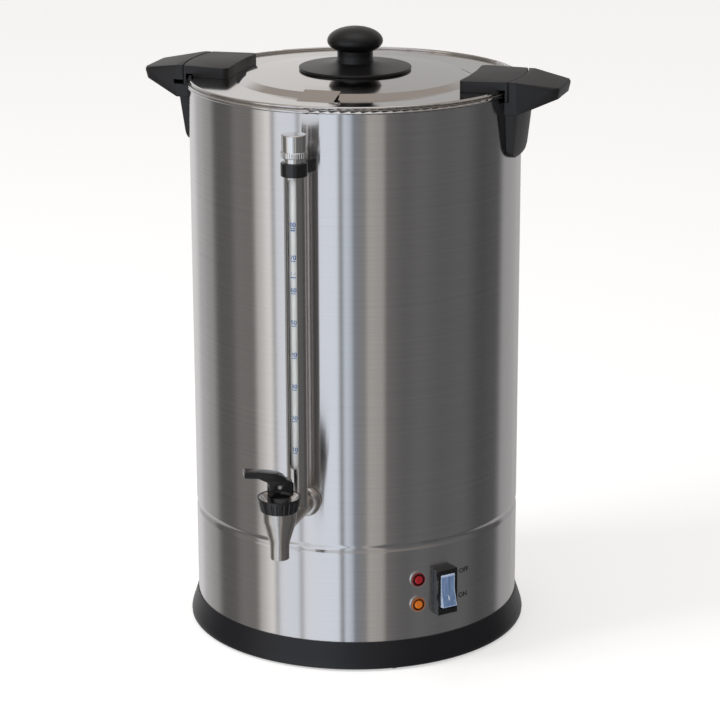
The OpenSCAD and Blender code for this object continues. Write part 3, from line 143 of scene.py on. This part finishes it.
white_page.inputs["Color"].default_value = (1, 1, 1, 1)
ray = nodes.new("ShaderNodeLightPath")
page_rays = reckon(nodes, links, "MAXIMUM", ray.outputs["Is Camera Ray"], ray.outputs["Is Transmission Ray"])
seen = nodes.new("ShaderNodeMixShader")
links.new(page_rays, seen.inputs["Fac"])
links.new(tent_light.outputs[0], seen.inputs[1])
links.new(white_page.outputs[0], seen.inputs[2])
world_out = nodes.new("ShaderNodeOutputWorld")
links.new(seen.outputs[0], world_out.inputs["Surface"])

# Two soft boxes, square lamps aimed at the middle of the urn, light it and cast its shadow. The
# steel doesn't mirror them.
urn_middle = Vector((0, 0, 0.22))


def soft_box(name, place, side, power):
    lamp_data = bpy.data.lights.new(name, "AREA")
    lamp_data.size = side
    lamp_data.energy = power
    lamp = bpy.data.objects.new(name, lamp_data)
    bpy.context.collection.objects.link(lamp)
    aim = urn_middle - Vector(place)
    lamp.matrix_world = Matrix.Translation(place) @ aim.to_track_quat("-Z", "Y").to_matrix().to_4x4()
    lamp.visible_glossy = False


soft_box("key_lamp", (-1.5, -1.1, 1.7), side=0.9, power=26)
soft_box("fill_lamp", (1.4, -1.6, 1.2), side=1.2, power=8)

# The floor is a pale sweep of paper. It keeps the urn's shadow, its own glow brings the rest of
# the page to white, and the steel doesn't mirror it.
floor_side = 8
bpy.ops.object.select_all(action="DESELECT")
bpy.ops.mesh.primitive_grid_add(x_subdivisions=8, y_subdivisions=8, size=floor_side)
floor = bpy.context.object
floor.name = "floor"
paper = bpy.data.materials.new("white_paper")
paper.use_nodes = True
nodes, links = paper.node_tree.nodes, paper.node_tree.links
paper_shader = nodes["Principled BSDF"]
paper_shader.inputs["Base Color"].default_value = (0.80, 0.80, 0.80, 1)
paper_shader.inputs["Roughness"].default_value = 0.9
paper_shader.inputs["Emission Color"].default_value = (1, 1, 1, 1)
paper_shader.inputs["Emission Strength"].default_value = 0.50
see_through = nodes.new("ShaderNodeBsdfTransparent")
ray = nodes.new("ShaderNodeLightPath")
paper_mix = nodes.new("ShaderNodeMixShader")
links.new(ray.outputs["Is Glossy Ray"], paper_mix.inputs["Fac"])
links.new(paper_shader.outputs[0], paper_mix.inputs[1])
links.new(see_through.outputs[0], paper_mix.inputs[2])
links.new(paper_mix.outputs[0], nodes["Material Output"].inputs["Surface"])
floor.data.materials.append(paper)


# ---------------------------------------------------------------- body shell
# One tube of 1 mm stainless steel, welded, rolled over at the rim and grooved above the foot.
# It is brushed round the tube, so it shows upright bands of light and fine level scratches.
def new_finish(name, colour, roughness, metallic=0.0):
    material = bpy.data.materials.new(name)
    material.use_nodes = True
    shader = material.node_tree.nodes["Principled BSDF"]
    shader.inputs["Base Color"].default_value = colour
    shader.inputs["Roughness"].default_value = roughness
    shader.inputs["Metallic"].default_value = metallic
    return material, material.node_tree.nodes, material.node_tree.links, shader


# Gives a finish to solids that show as they are.
def dress(material, *names):
    for name in names:
        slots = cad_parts[name].data.materials
        slots.clear()
        slots.append(material)


# Noise in the object's own metres. The scale is one number, or one for each axis.
def grain(nodes, links, scale, detail=3.0):
    if isinstance(scale, (int, float)):
        scale = (scale, scale, scale)
    place = nodes.new("ShaderNodeTexCoord")
    stretch = nodes.new("ShaderNodeMapping")
    stretch.inputs["Scale"].default_value = scale
    noise = nodes.new("ShaderNodeTexNoise")
    noise.inputs["Scale"].default_value = 1.0
    noise.inputs["Detail"].default_value = detail
    links.new(place.outputs["Object"], stretch.inputs["Vector"])
    links.new(stretch.outputs["Vector"], noise.inputs["Vector"])
    return noise.outputs["Fac"]


# Spreads a value that runs from start to end over low to high, and feeds it to a socket.
def vary(nodes, links, value, low, high, socket, start=0.3, end=0.7):
    spread = nodes.new("ShaderNodeMapRange")
    spread.inputs["From Min"].default_value = start
    spread.inputs["From Max"].default_value = end
    spread.inputs["To Min"].default_value = low
    spread.inputs["To Max"].default_value = high
    links.new(value, spread.inputs["Value"])
    links.new(spread.outputs["Result"], socket)


# Mixes two colours by a value.
def tint(nodes, links, value, dark, light, socket, start=0.3, end=0.7):
    blend = nodes.new("ShaderNodeMix")
    blend.data_type = "RGBA"
    blend.inputs["A"].default_value = dark
    blend.inputs["B"].default_value = light
    vary(nodes, links, value, 0.0, 1.0, blend.inputs["Factor"], start, end)
    links.new(blend.outputs["Result"], socket)
    return blend


# Raises the surface by a value, to a depth in metres.
def raise_grain(nodes, links, value, depth, shader):
    bump = nodes.new("ShaderNodeBump")
    bump.inputs["Strength"].default_value = 1.0
    bump.inputs["Distance"].default_value = depth
    links.new(value, bump.inputs["Height"])
    links.new(bump.outputs["Normal"], shader.inputs["Normal"])


# Metal with a fine grain, stretched by a scale. Where it was brushed or turned round its upright
# axis, pull draws its highlights out along that axis, across the scratches.
def worked_metal(name, colour, roughness, scale, depth, pull=0.0, fleck=0.03):
    material, nodes, links, shader = new_finish(name, colour, roughness, 1.0)
    quarter_turn = 0.25
    if pull:
        shader.inputs["Anisotropic"].default_value = pull
        shader.inputs["Anisotropic Rotation"].default_value = quarter_turn
        around = nodes.new("ShaderNodeTangent")
        around.direction_type = "RADIAL"
        around.axis = "Z"
        links.new(around.outputs["Tangent"], shader.inputs["Tangent"])
    scratches = grain(nodes, links, scale)
    vary(nodes, links, scratches, roughness * 0.85, roughness * 1.18, shader.inputs["Roughness"])
    light = [min(1.0, part * (1 + fleck)) for part in colour[:3]] + [1]
    dark = [part * (1 - fleck) for part in colour[:3]] + [1]
    tint(nodes, links, scratches, dark, light, shader.inputs["Base Color"])
    raise_grain(nodes, links, scratches, depth, shader)
    return material


body_steel = worked_metal("body_steel", (0.74, 0.72, 0.72, 1), roughness=0.155, scale=(8, 8, 2200),
                          depth=0.000005, pull=1.0, fleck=0.05)
dress(body_steel, "body_shell")

# ---------------------------------------------------------------- lid
# Pressed from polished stainless sheet, with a beaded edge, a low step, a shallow dome and a
# steam louvre at the front. It mirrors the knob and the blocks in a warm grey.
lid_steel = worked_metal("lid_steel", (0.76, 0.735, 0.72, 1), roughness=0.09, scale=700,
                         depth=0.0000004, fleck=0.01)
dress(lid_steel, "lid_pan")
gasket_rubber, nodes, links, shader = new_finish("gasket_rubber", (0.60, 0.58, 0.54, 1), roughness=0.55)
raise_grain(nodes, links, grain(nodes, links, 500), 0.00002, shader)
dress(gasket_rubber, "lid_gasket", "gauge_lower_seal", "gauge_upper_seal", "shank_seal", "seat_cup")


# ---------------------------------------------------------------- handles and lid blocks
# Moulded in black nylon with a fine satin grain. Each piece is the solid with its sharp edges
# rounded, because a moulding has no sharp edge and the light catches on the rounds.
def moulded(name, dark, light, roughness, scale, depth, coat=0.0):
    material, nodes, links, shader = new_finish(name, dark, roughness)
    shader.inputs["Coat Weight"].default_value = coat
    shader.inputs["Coat Roughness"].default_value = 0.10
    speckle = grain(nodes, links, scale, detail=2.0)
    tint(nodes, links, speckle, dark, light, shader.inputs["Base Color"])
    vary(nodes, links, speckle, roughness - 0.04, roughness + 0.05, shader.inputs["Roughness"])
    raise_grain(nodes, links, speckle, depth, shader)
    return material


def choose(piece):
    bpy.ops.object.select_all(action="DESELECT")
    piece.select_set(True)
    bpy.context.view_layer.objects.active = piece


# Gives a new piece its name, its finish and its body.
def fit_out(piece, name, body, material):
    piece.name = name
    piece.data.name = name
    piece.data.materials.clear()
    piece.data.materials.append(material)
    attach(piece, body)


# A copy of a solid with its edges rounded, which then stands for it.
def rounded(node, body, material, width, segments=3):
    weld_gap = 0.000004
    flat_angle = math.radians(1)
    sharp_angle = math.radians(30)
    smooth_angle = math.radians(35)
    piece = bpy.data.objects.new(node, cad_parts[node].data.copy())
    bpy.context.collection.objects.link(piece)
    choose(piece)
    bpy.ops.object.mode_set(mode="EDIT")
    bpy.ops.mesh.select_all(action="SELECT")
    bpy.ops.mesh.remove_doubles(threshold=weld_gap)
    bpy.ops.mesh.customdata_custom_splitnormals_clear()
    bpy.ops.mesh.dissolve_limited(angle_limit=flat_angle)
    bpy.ops.object.mode_set(mode="OBJECT")
    bevel = piece.modifiers.new("round", "BEVEL")
    bevel.width = width
    bevel.segments = segments
    bevel.limit_method = "ANGLE"
    bevel.angle_limit = sharp_angle
    bevel.use_clamp_overlap = True
    bpy.ops.object.modifier_apply(modifier="round")
    bpy.ops.object.shade_smooth_by_angle(angle=smooth_angle)
    fit_out(piece, node + "_moulding", body, material)
    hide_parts(node)
    return piece


nylon = moulded("handle_nylon", (0.0085, 0.0085, 0.0100, 1), (0.0125, 0.0125, 0.0145, 1),
                roughness=0.44, scale=2200, depth=0.000010)
for side in ("left", "right"):
    rounded("handle_" + side, "urn", nylon, width=0.0007)
    rounded("lid_block_" + side, "lid", nylon, width=0.0009)

# ---------------------------------------------------------------- knob
# A mushroom head on a waisted neck and a broad disc, both smooth and satin black.
knob_black = moulded("knob_black", (0.0045, 0.0045, 0.0050, 1), (0.0065, 0.0065, 0.0070, 1),
                     roughness=0.34, scale=2600, depth=0.000005)
dress(knob_black, "knob_disc", "knob_assembly")

# ---------------------------------------------------------------- base
# The shell stands in a flared ring of black plastic on six rubber feet. A pierced steel cover
# closes it from below, drawn up by three studs.
base_black = moulded("base_black", (0.0060, 0.0062, 0.0085, 1), (0.0085, 0.0088, 0.0115, 1),
                     roughness=0.36, scale=1800, depth=0.000008)
dress(base_black, "base_ring")
foot_rubber, nodes, links, shader = new_finish("foot_rubber", (0.02, 0.02, 0.02, 1), roughness=0.75)
raise_grain(nodes, links, grain(nodes, links, 1500), 0.00003, shader)
vary(nodes, links, grain(nodes, links, 300), 0.65, 0.85, shader.inputs["Roughness"])
dress(foot_rubber, "feet")
cover_steel = worked_metal("cover_steel", (0.62, 0.63, 0.64, 1), roughness=0.34, scale=300,
                           depth=0.000004, fleck=0.06)
dress(cover_steel, "bottom_cover", "tie_studs", "stud_nuts")

# ---------------------------------------------------------------- gauge
# A slotted steel tube shields the glass. A knurled chrome cap closes its top and a glossy black
# clip ties it to the shell.
shield_steel = worked_metal("shield_steel", (0.70, 0.68, 0.665, 1), roughness=0.20, scale=(50, 50, 1800),
                            depth=0.000002, pull=0.8)
dress(shield_steel, "gauge_shield")
clean_glass = (0.90, 0.92, 0.92, 1)
smeared_glass = (0.80, 0.82, 0.82, 1)
gauge_clear, nodes, links, shader = new_finish("gauge_clear", clean_glass, roughness=0.04)
shader.inputs["Transmission Weight"].default_value = 0.25
shader.inputs["IOR"].default_value = 1.47
smears = grain(nodes, links, (300, 300, 60))
vary(nodes, links, smears, 0.03, 0.08, shader.inputs["Roughness"])
tint(nodes, links, smears, smeared_glass, clean_glass, shader.inputs["Base Color"])
dress(gauge_clear, "gauge_glass")
chrome = worked_metal("chrome", (0.86, 0.85, 0.84, 1), roughness=0.06, scale=(80, 80, 900),
                      depth=0.0000003, fleck=0.01)
dress(chrome, "gauge_cap")
gloss_black = moulded("gloss_black", (0.0040, 0.0040, 0.0050, 1), (0.0060, 0.0060, 0.0072, 1),
                      roughness=0.20, scale=900, depth=0.000002, coat=0.4)
rounded("gauge_clip", "urn", gloss_black, width=0.0005)

# ---------------------------------------------------------------- cup marks
# Printed in blue on the front of the glass: a number over a short bar for each ten cups, a line
# with a cup sign over it at the fill line, and a line at the top.
ink_blue, nodes, links, shader = new_finish("ink_blue", (0.004, 0.10, 0.34, 1), roughness=0.4)
vary(nodes, links, grain(nodes, links, 2500), 0.3, 0.5, shader.inputs["Roughness"])
ink_t = 0.00005


# Bends a flat piece round an upright axis: its x runs round the axis and its y becomes height.
# The round is the axis's x and y, and the radius.
def wrap(piece, on_round, azimuth, height):
    axis_x, axis_y, radius = on_round
    for vertex in piece.data.vertices:
        turn = math.radians(azimuth) + vertex.co.x / radius
        vertex.co = (axis_x + radius * math.sin(turn), axis_y - radius * math.cos(turn),
                     height + vertex.co.y)


# Words as a thin sheet, their middle on the place given, wrapped on a round. The ink spreads a
# little, by a share of their size.
def print_words(name, words, size, on_round, azimuth, height, ink):
    ink_spread = 0.022
    bpy.ops.object.select_all(action="DESELECT")
    bpy.ops.object.text_add(location=(0, 0, 0))
    piece = bpy.context.object
    piece.data.body = words
    piece.data.size = size
    piece.data.align_x = "CENTER"
    piece.data.align_y = "CENTER"
    piece.data.resolution_u = 3
    piece.data.offset = size * ink_spread
    bpy.ops.object.convert(target="MESH")
    piece = bpy.context.object
    wrap(piece, on_round, azimuth, height)
    fit_out(piece, name, "urn", ink)


# A printed bar on the gauge: a strip of squares whose ends are drawn in to half its thickness.
def print_bar(name, width, thickness, height):
    straight_half = 0.37
    end_length = 0.13
    bpy.ops.object.select_all(action="DESELECT")
    bpy.ops.mesh.primitive_grid_add(x_subdivisions=8, y_subdivisions=2, size=1)
    piece = bpy.context.object
    for vertex in piece.data.vertices:
        end = max(0.0, abs(vertex.co.x) - straight_half) / end_length
        vertex.co = (vertex.co.x * width, vertex.co.y * thickness * (1 - 0.5 * end), 0)
    wrap(piece, gauge_round, 0, height)
    fit_out(piece, name, "urn", ink_blue)


gauge_low, gauge_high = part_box("gauge_glass")
gauge_round = ((gauge_low[0] + gauge_high[0]) / 2, (gauge_low[1] + gauge_high[1]) / 2,
               (gauge_high[0] - gauge_low[0]) / 2 + ink_t)
mark_count = 8
first_mark = 0.1864
ten_cups = 0.0249
number_size = 0.0048
number_above = 0.0008
bar_below = 0.0018
for i in range(mark_count):
    level = first_mark + ten_cups * i
    cups = str(10 * (i + 1))
    print_words("cup_number_" + cups, cups, number_size, gauge_round, 0, level + number_above,
                ink_blue)
    print_bar("cup_bar_" + cups, width=0.0040, thickness=0.0006, height=level - bar_below)
print_bar("fill_line", width=0.0042, thickness=0.0008, height=0.3215)
print_bar("top_line", width=0.0036, thickness=0.0010, height=0.3573)

# The cup sign: a disc cut off by its rim, for the bowl.
cup_r = 0.0016
cup_rim = 0.0006
cup_height = 0.3250
bpy.ops.object.select_all(action="DESELECT")
bpy.ops.mesh.primitive_circle_add(vertices=20, radius=cup_r, fill_type="NGON")
cup_sign = bpy.context.object
bpy.ops.object.mode_set(mode="EDIT")
bpy.ops.mesh.select_all(action="SELECT")
bpy.ops.mesh.bisect(plane_co=(0, cup_rim, 0), plane_no=(0, 1, 0), clear_outer=True, use_fill=False)
bpy.ops.object.mode_set(mode="OBJECT")
wrap(cup_sign, gauge_round, 0, cup_height)
fit_out(cup_sign, "cup_sign", "urn", ink_blue)

# ---------------------------------------------------------------- tap
# Satin steel shank and spout, a domed flange on the shell, and a fluted black bonnet ring round
# a bright dished disc. Spring, stem and pin are of hard steel wire and bar.
tap_steel = worked_metal("tap_steel", (0.66, 0.625, 0.59, 1), roughness=0.22, scale=(60, 60, 1500),
                         depth=0.000002, pull=0.5, fleck=0.04)
dress(tap_steel, "tap_body", "tap_shank", "shank_flange", "shank_nut")
dish_steel = worked_metal("dish_steel", (0.82, 0.81, 0.80, 1), roughness=0.16, scale=700,
                          depth=0.000004, fleck=0.05)
dress(dish_steel, "bonnet_disc")
dress(gloss_black, "bonnet_ring", "bonnet_hub")
rounded("tap_lever", "lever", gloss_black, width=0.0006)
pin_steel = worked_metal("pin_steel", (0.72, 0.72, 0.73, 1), roughness=0.18, scale=900,
                         depth=0.000001, fleck=0.02)
dress(pin_steel, "lever_pin", "tap_stem", "handle_screws", "clip_screw", "inlet_screws",
      "lid_block_screws", "lamp_nuts")

# The spring is pressed up against the hub by the stem's collar as the stem rises. Here it is
# a rounded copy with a mesh of its own.
spring = rounded("tap_spring", "swivel", pin_steel, width=0.00005, segments=1)
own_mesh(spring)

# ---------------------------------------------------------------- switch
# A rocker of pale blue translucent plastic in a deep black bezel. Its edges are lighter by a
# painted highlight, soft streaks run up it, and its lower half bears a short upright stroke for on.
rounded("switch_housing", "urn", gloss_black, width=0.0007)


# The object's own place, measured from a middle, in given sizes along axes turned to an azimuth
# in degrees.
def measured_from(nodes, links, middle, sizes, azimuth=0.0):
    place = nodes.new("ShaderNodeTexCoord")
    centred = nodes.new("ShaderNodeMapping")
    centred.vector_type = "TEXTURE"
    centred.inputs["Location"].default_value = middle
    centred.inputs["Rotation"].default_value = (0, 0, math.radians(azimuth))
    centred.inputs["Scale"].default_value = sizes
    links.new(place.outputs["Object"], centred.inputs["Vector"])
    return centred.outputs["Vector"]


switch_azimuth = 48.2
rocker_low, rocker_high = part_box("switch_rocker")
rocker_mid = [(low + high) / 2 for low, high in zip(rocker_low, rocker_high)]
rocker_half_w = 0.0063
rocker_half_h = 0.013
rocker_blue, nodes, links, shader = new_finish("rocker_blue", (0.13, 0.20, 0.34, 1), roughness=0.16)
shader.inputs["Subsurface Weight"].default_value = 0.25
shader.inputs["Subsurface Radius"].default_value = (0.6, 0.8, 1.0)
shader.inputs["Subsurface Scale"].default_value = 0.002
across_up = nodes.new("ShaderNodeSeparateXYZ")
links.new(measured_from(nodes, links, rocker_mid, (rocker_half_w, 1, rocker_half_h), switch_azimuth),
          across_up.inputs["Vector"])
across, up = across_up.outputs["X"], across_up.outputs["Z"]
colour_socket = shader.inputs["Base Color"]
streaks = grain(nodes, links, (700, 700, 60))
streaked = tint(nodes, links, streaks, (0.10, 0.17, 0.31, 1), (0.20, 0.29, 0.47, 1), colour_socket)
# A painted highlight lightens the rocker's colour towards its edges, all round.
edge_highlight_reach = reckon(nodes, links, "MAXIMUM", reckon(nodes, links, "ABSOLUTE", across),
              reckon(nodes, links, "ABSOLUTE", up))
painted_edge_highlight = tint(nodes, links, edge_highlight_reach, (0, 0, 0, 1), (0.55, 0.66, 0.84, 1), colour_socket, start=0.86, end=1.0)
links.new(streaked.outputs["Result"], painted_edge_highlight.inputs["A"])
stroke_half_w = 0.07
stroke_middle = -0.42
stroke_half_h = 0.13
stroke = reckon(nodes, links, "MULTIPLY", reckon(nodes, links, "COMPARE", across, 0.0, stroke_half_w),
                reckon(nodes, links, "COMPARE", up, stroke_middle, stroke_half_h))
marked = tint(nodes, links, stroke, (0, 0, 0, 1), (0.66, 0.72, 0.80, 1), colour_socket, start=0.0, end=1.0)
links.new(painted_edge_highlight.outputs["Result"], marked.inputs["A"])
rounded("switch_rocker", "rocker", rocker_blue, width=0.0008)

# ---------------------------------------------------------------- lamps
# Each lens is pushed through the shell in a bright rim. It has a smooth outer ring, a groove
# darkened by painted shade, and a pimpled core that gathers the light, shown by a painted glow.
dress(chrome, "lamp_rims")
shell_r = 0.130
lamp_azimuth = 38.5
lens_r = 0.0057
barrel_r = 0.0047
barrel_l = 0.020
groove_floor = 0.0013
core_r = lens_r * 0.56
core_t = 0.0006
pimple_r = 0.00055


# A round moulding raised step by step: each step draws the top face up and to a new radius.
def stepped_round(radius, depth, steps):
    bpy.ops.object.select_all(action="DESELECT")
    bpy.ops.mesh.primitive_cylinder_add(vertices=40, radius=radius, depth=depth,
                                        location=(0, 0, -depth / 2))
    piece = bpy.context.object
    bpy.ops.object.transform_apply(location=True, rotation=True, scale=True)
    top = max(piece.data.polygons, key=lambda face: face.center.z).index
    bpy.ops.object.mode_set(mode="EDIT")
    bpy.ops.mesh.select_mode(type="FACE")
    bpy.ops.mesh.select_all(action="DESELECT")
    bpy.ops.object.mode_set(mode="OBJECT")
    piece.data.polygons[top].select = True
    bpy.ops.object.mode_set(mode="EDIT")
    height = 0.0
    for new_radius, new_height in steps:
        bpy.ops.mesh.extrude_region_move(TRANSFORM_OT_translate={"value": (0, 0, new_height - height)})
        share = new_radius / radius
        bpy.ops.transform.resize(value=(share, share, 1), center_override=(0, 0, new_height))
        radius, height = new_radius, new_height
    bpy.ops.object.mode_set(mode="OBJECT")
    return piece


# Turns a piece that faces up so that it faces out of the shell, at a lamp's azimuth.
def face_out(piece, radius, height):
    turn = Matrix.Rotation(math.radians(lamp_azimuth - 90), 4, "Z")
    lean = Matrix.Translation((radius, 0, height)) @ Matrix.Rotation(math.radians(90), 4, "Y")
    piece.data.transform(turn @ lean)


# Clear coloured plastic, with painted shade making the middle of the lens dark, for the dark inside behind
# it, and light in its outer ring.
def lens_plastic_painted_shade(name, height, dark, light):
    material, nodes, links, shader = new_finish(name, light, 0.10)
    shader.inputs["Coat Weight"].default_value = 0.6
    shader.inputs["Coat Roughness"].default_value = 0.05
    vary(nodes, links, grain(nodes, links, 900), 0.07, 0.16, shader.inputs["Roughness"])
    azimuth = math.radians(lamp_azimuth)
    middle = (shell_r * math.sin(azimuth), -shell_r * math.cos(azimuth), height)
    reach = nodes.new("ShaderNodeVectorMath")
    reach.operation = "LENGTH"
    links.new(measured_from(nodes, links, middle, (lens_r, lens_r, lens_r)), reach.inputs[0])
    # Painted shade: the lens is dark inside 0.88 of its radius and turns light by 0.98.
    tint(nodes, links, reach.outputs["Value"], dark, light, shader.inputs["Base Color"],
         start=0.88, end=0.98)
    return material


def lamp(colour_name, height, dark, light, painted_glow):
    node = "lamp_" + colour_name
    ring = stepped_round(barrel_r, barrel_l, [
        (barrel_r, -0.0002), (lens_r, -0.0002), (lens_r, 0.0016), (lens_r * 0.97, 0.0020),
        (lens_r * 0.90, 0.0022), (lens_r * 0.80, 0.0021), (lens_r * 0.74, groove_floor),
        (lens_r * 0.50, groove_floor)])
    choose(ring)
    bpy.ops.object.shade_smooth_by_angle(angle=math.radians(40))
    face_out(ring, shell_r, height)
    fit_out(ring, node + "_lens", "urn", lens_plastic_painted_shade(node + "_plastic", height, dark, light))
    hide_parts(node)

    core = stepped_round(core_r, core_t, [
        (core_r, 0.0010), (core_r * 0.94, 0.0013), (core_r * 0.7, 0.0015), (core_r * 0.3, 0.0016)])
    choose(core)
    bpy.ops.object.mode_set(mode="EDIT")
    for ring_r, count, top in ((0.0, 1, 0.00155), (0.00115, 6, 0.00145), (0.0022, 12, 0.0013)):
        for i in range(count):
            turn = 2 * math.pi * i / count
            bpy.ops.mesh.primitive_uv_sphere_add(
                segments=8, ring_count=6, radius=pimple_r,
                location=(ring_r * math.cos(turn), ring_r * math.sin(turn), top))
    bpy.ops.object.mode_set(mode="OBJECT")
    bpy.ops.object.shade_smooth_by_angle(angle=math.radians(50))
    face_out(core, shell_r + groove_floor, height)
    plastic, nodes, links, shader = new_finish(node + "_core_plastic", light, 0.18)
    # A painted glow: the core emits a little of its glow colour, for the light it gathers.
    shader.inputs["Emission Color"].default_value = painted_glow
    shader.inputs["Emission Strength"].default_value = 0.10
    tint(nodes, links, grain(nodes, links, 1500), light, painted_glow, shader.inputs["Base Color"])
    fit_out(core, node + "_core", "urn", plastic)


# For each lamp, dark is the painted shade in the middle of the lens and the last colour is the core's
# painted glow.
lamp("red", 0.0715, dark=(0.012, 0.002, 0.003, 1), light=(0.20, 0.006, 0.010, 1),
     painted_glow=(0.42, 0.008, 0.014, 1))
lamp("amber", 0.0510, dark=(0.06, 0.014, 0.003, 1), light=(0.42, 0.10, 0.008, 1),
     painted_glow=(0.72, 0.20, 0.012, 1))

# ---------------------------------------------------------------- printing on the shell
# OFF and ON beside the rocker, in baked black enamel ink. The places beside the lamps are bare.
ink_black, nodes, links, shader = new_finish("ink_black", (0.015, 0.015, 0.016, 1), roughness=0.5)
vary(nodes, links, grain(nodes, links, 2500), 0.4, 0.6, shader.inputs["Roughness"])
word_size = 0.0056
for words, azimuth, height in (("OFF", 57.4, 0.0707), ("ON", 57.0, 0.0504)):
    print_words("switch_word_" + words.lower(), words, word_size, (0, 0, shell_r + ink_t), azimuth,
                height, ink_black)

# ---------------------------------------------------------------- tank
# The deep drawn floor and the pump well under the coffee, of plain bright stainless sheet.
tank_steel = worked_metal("tank_steel", (0.74, 0.73, 0.72, 1), roughness=0.16, scale=300,
                          depth=0.000002)
dress(tank_steel, "tank_floor")

# ---------------------------------------------------------------- percolator
# A drawn basket with a pierced floor and cover stands on the pump tube. All of it is aluminium,
# pale and a little frosted by the water, as is the heater plate.
frosted, nodes, links, shader = new_finish("frosted_aluminium", (0.80, 0.80, 0.79, 1), 0.36, metallic=1.0)
bloom = grain(nodes, links, 240, detail=5.0)
tint(nodes, links, bloom, (0.72, 0.72, 0.71, 1), (0.86, 0.86, 0.85, 1), shader.inputs["Base Color"])
vary(nodes, links, bloom, 0.30, 0.44, shader.inputs["Roughness"])
raise_grain(nodes, links, bloom, 0.000008, shader)
dress(frosted, "pump_foot", "coffee_basket", "basket_cover", "heater_plate", "pump_tube", "pump_washer")

# ---------------------------------------------------------------- heating
# The ring element and the well heater are sheathed in steel that the heat has browned. The
# thermostats, the terminal block and the cut-out are of heat-proof plastic.
sheath, nodes, links, shader = new_finish("browned_sheath", (0.42, 0.36, 0.30, 1), 0.32, metallic=1.0)
heat = grain(nodes, links, 90, detail=4.0)
tint(nodes, links, heat, (0.30, 0.25, 0.22, 1), (0.52, 0.46, 0.40, 1), shader.inputs["Base Color"])
vary(nodes, links, heat, 0.26, 0.42, shader.inputs["Roughness"])
dress(sheath, "ring_element", "well_heater")


def dull_plastic(name, dark, light, *nodes_dressed):
    material, nodes, links, shader = new_finish(name, light, roughness=0.5)
    mottle = grain(nodes, links, 1200)
    tint(nodes, links, mottle, dark, light, shader.inputs["Base Color"])
    vary(nodes, links, mottle, 0.42, 0.58, shader.inputs["Roughness"])
    raise_grain(nodes, links, mottle, 0.000006, shader)
    dress(material, *nodes_dressed)


dull_plastic("phenolic_brown", (0.060, 0.035, 0.022, 1), (0.085, 0.050, 0.032, 1),
             "boil_thermostat", "warm_thermostat", "thermal_cutout")
dull_plastic("block_beige", (0.68, 0.63, 0.50, 1), (0.76, 0.71, 0.58, 1), "terminal_block")
dull_plastic("button_red", (0.42, 0.015, 0.012, 1), (0.50, 0.025, 0.020, 1), "reset_button")
dull_plastic("woven_sleeve", (0.50, 0.47, 0.38, 1), (0.78, 0.74, 0.64, 1), "wiring")
dull_plastic("inlet_black", (0.016, 0.016, 0.017, 1), (0.022, 0.022, 0.024, 1), "power_inlet")
pin_brass = worked_metal("pin_brass", (0.72, 0.55, 0.26, 1), roughness=0.20, scale=600,
                         depth=0.000001, fleck=0.04)
dress(pin_brass, "inlet_pins")
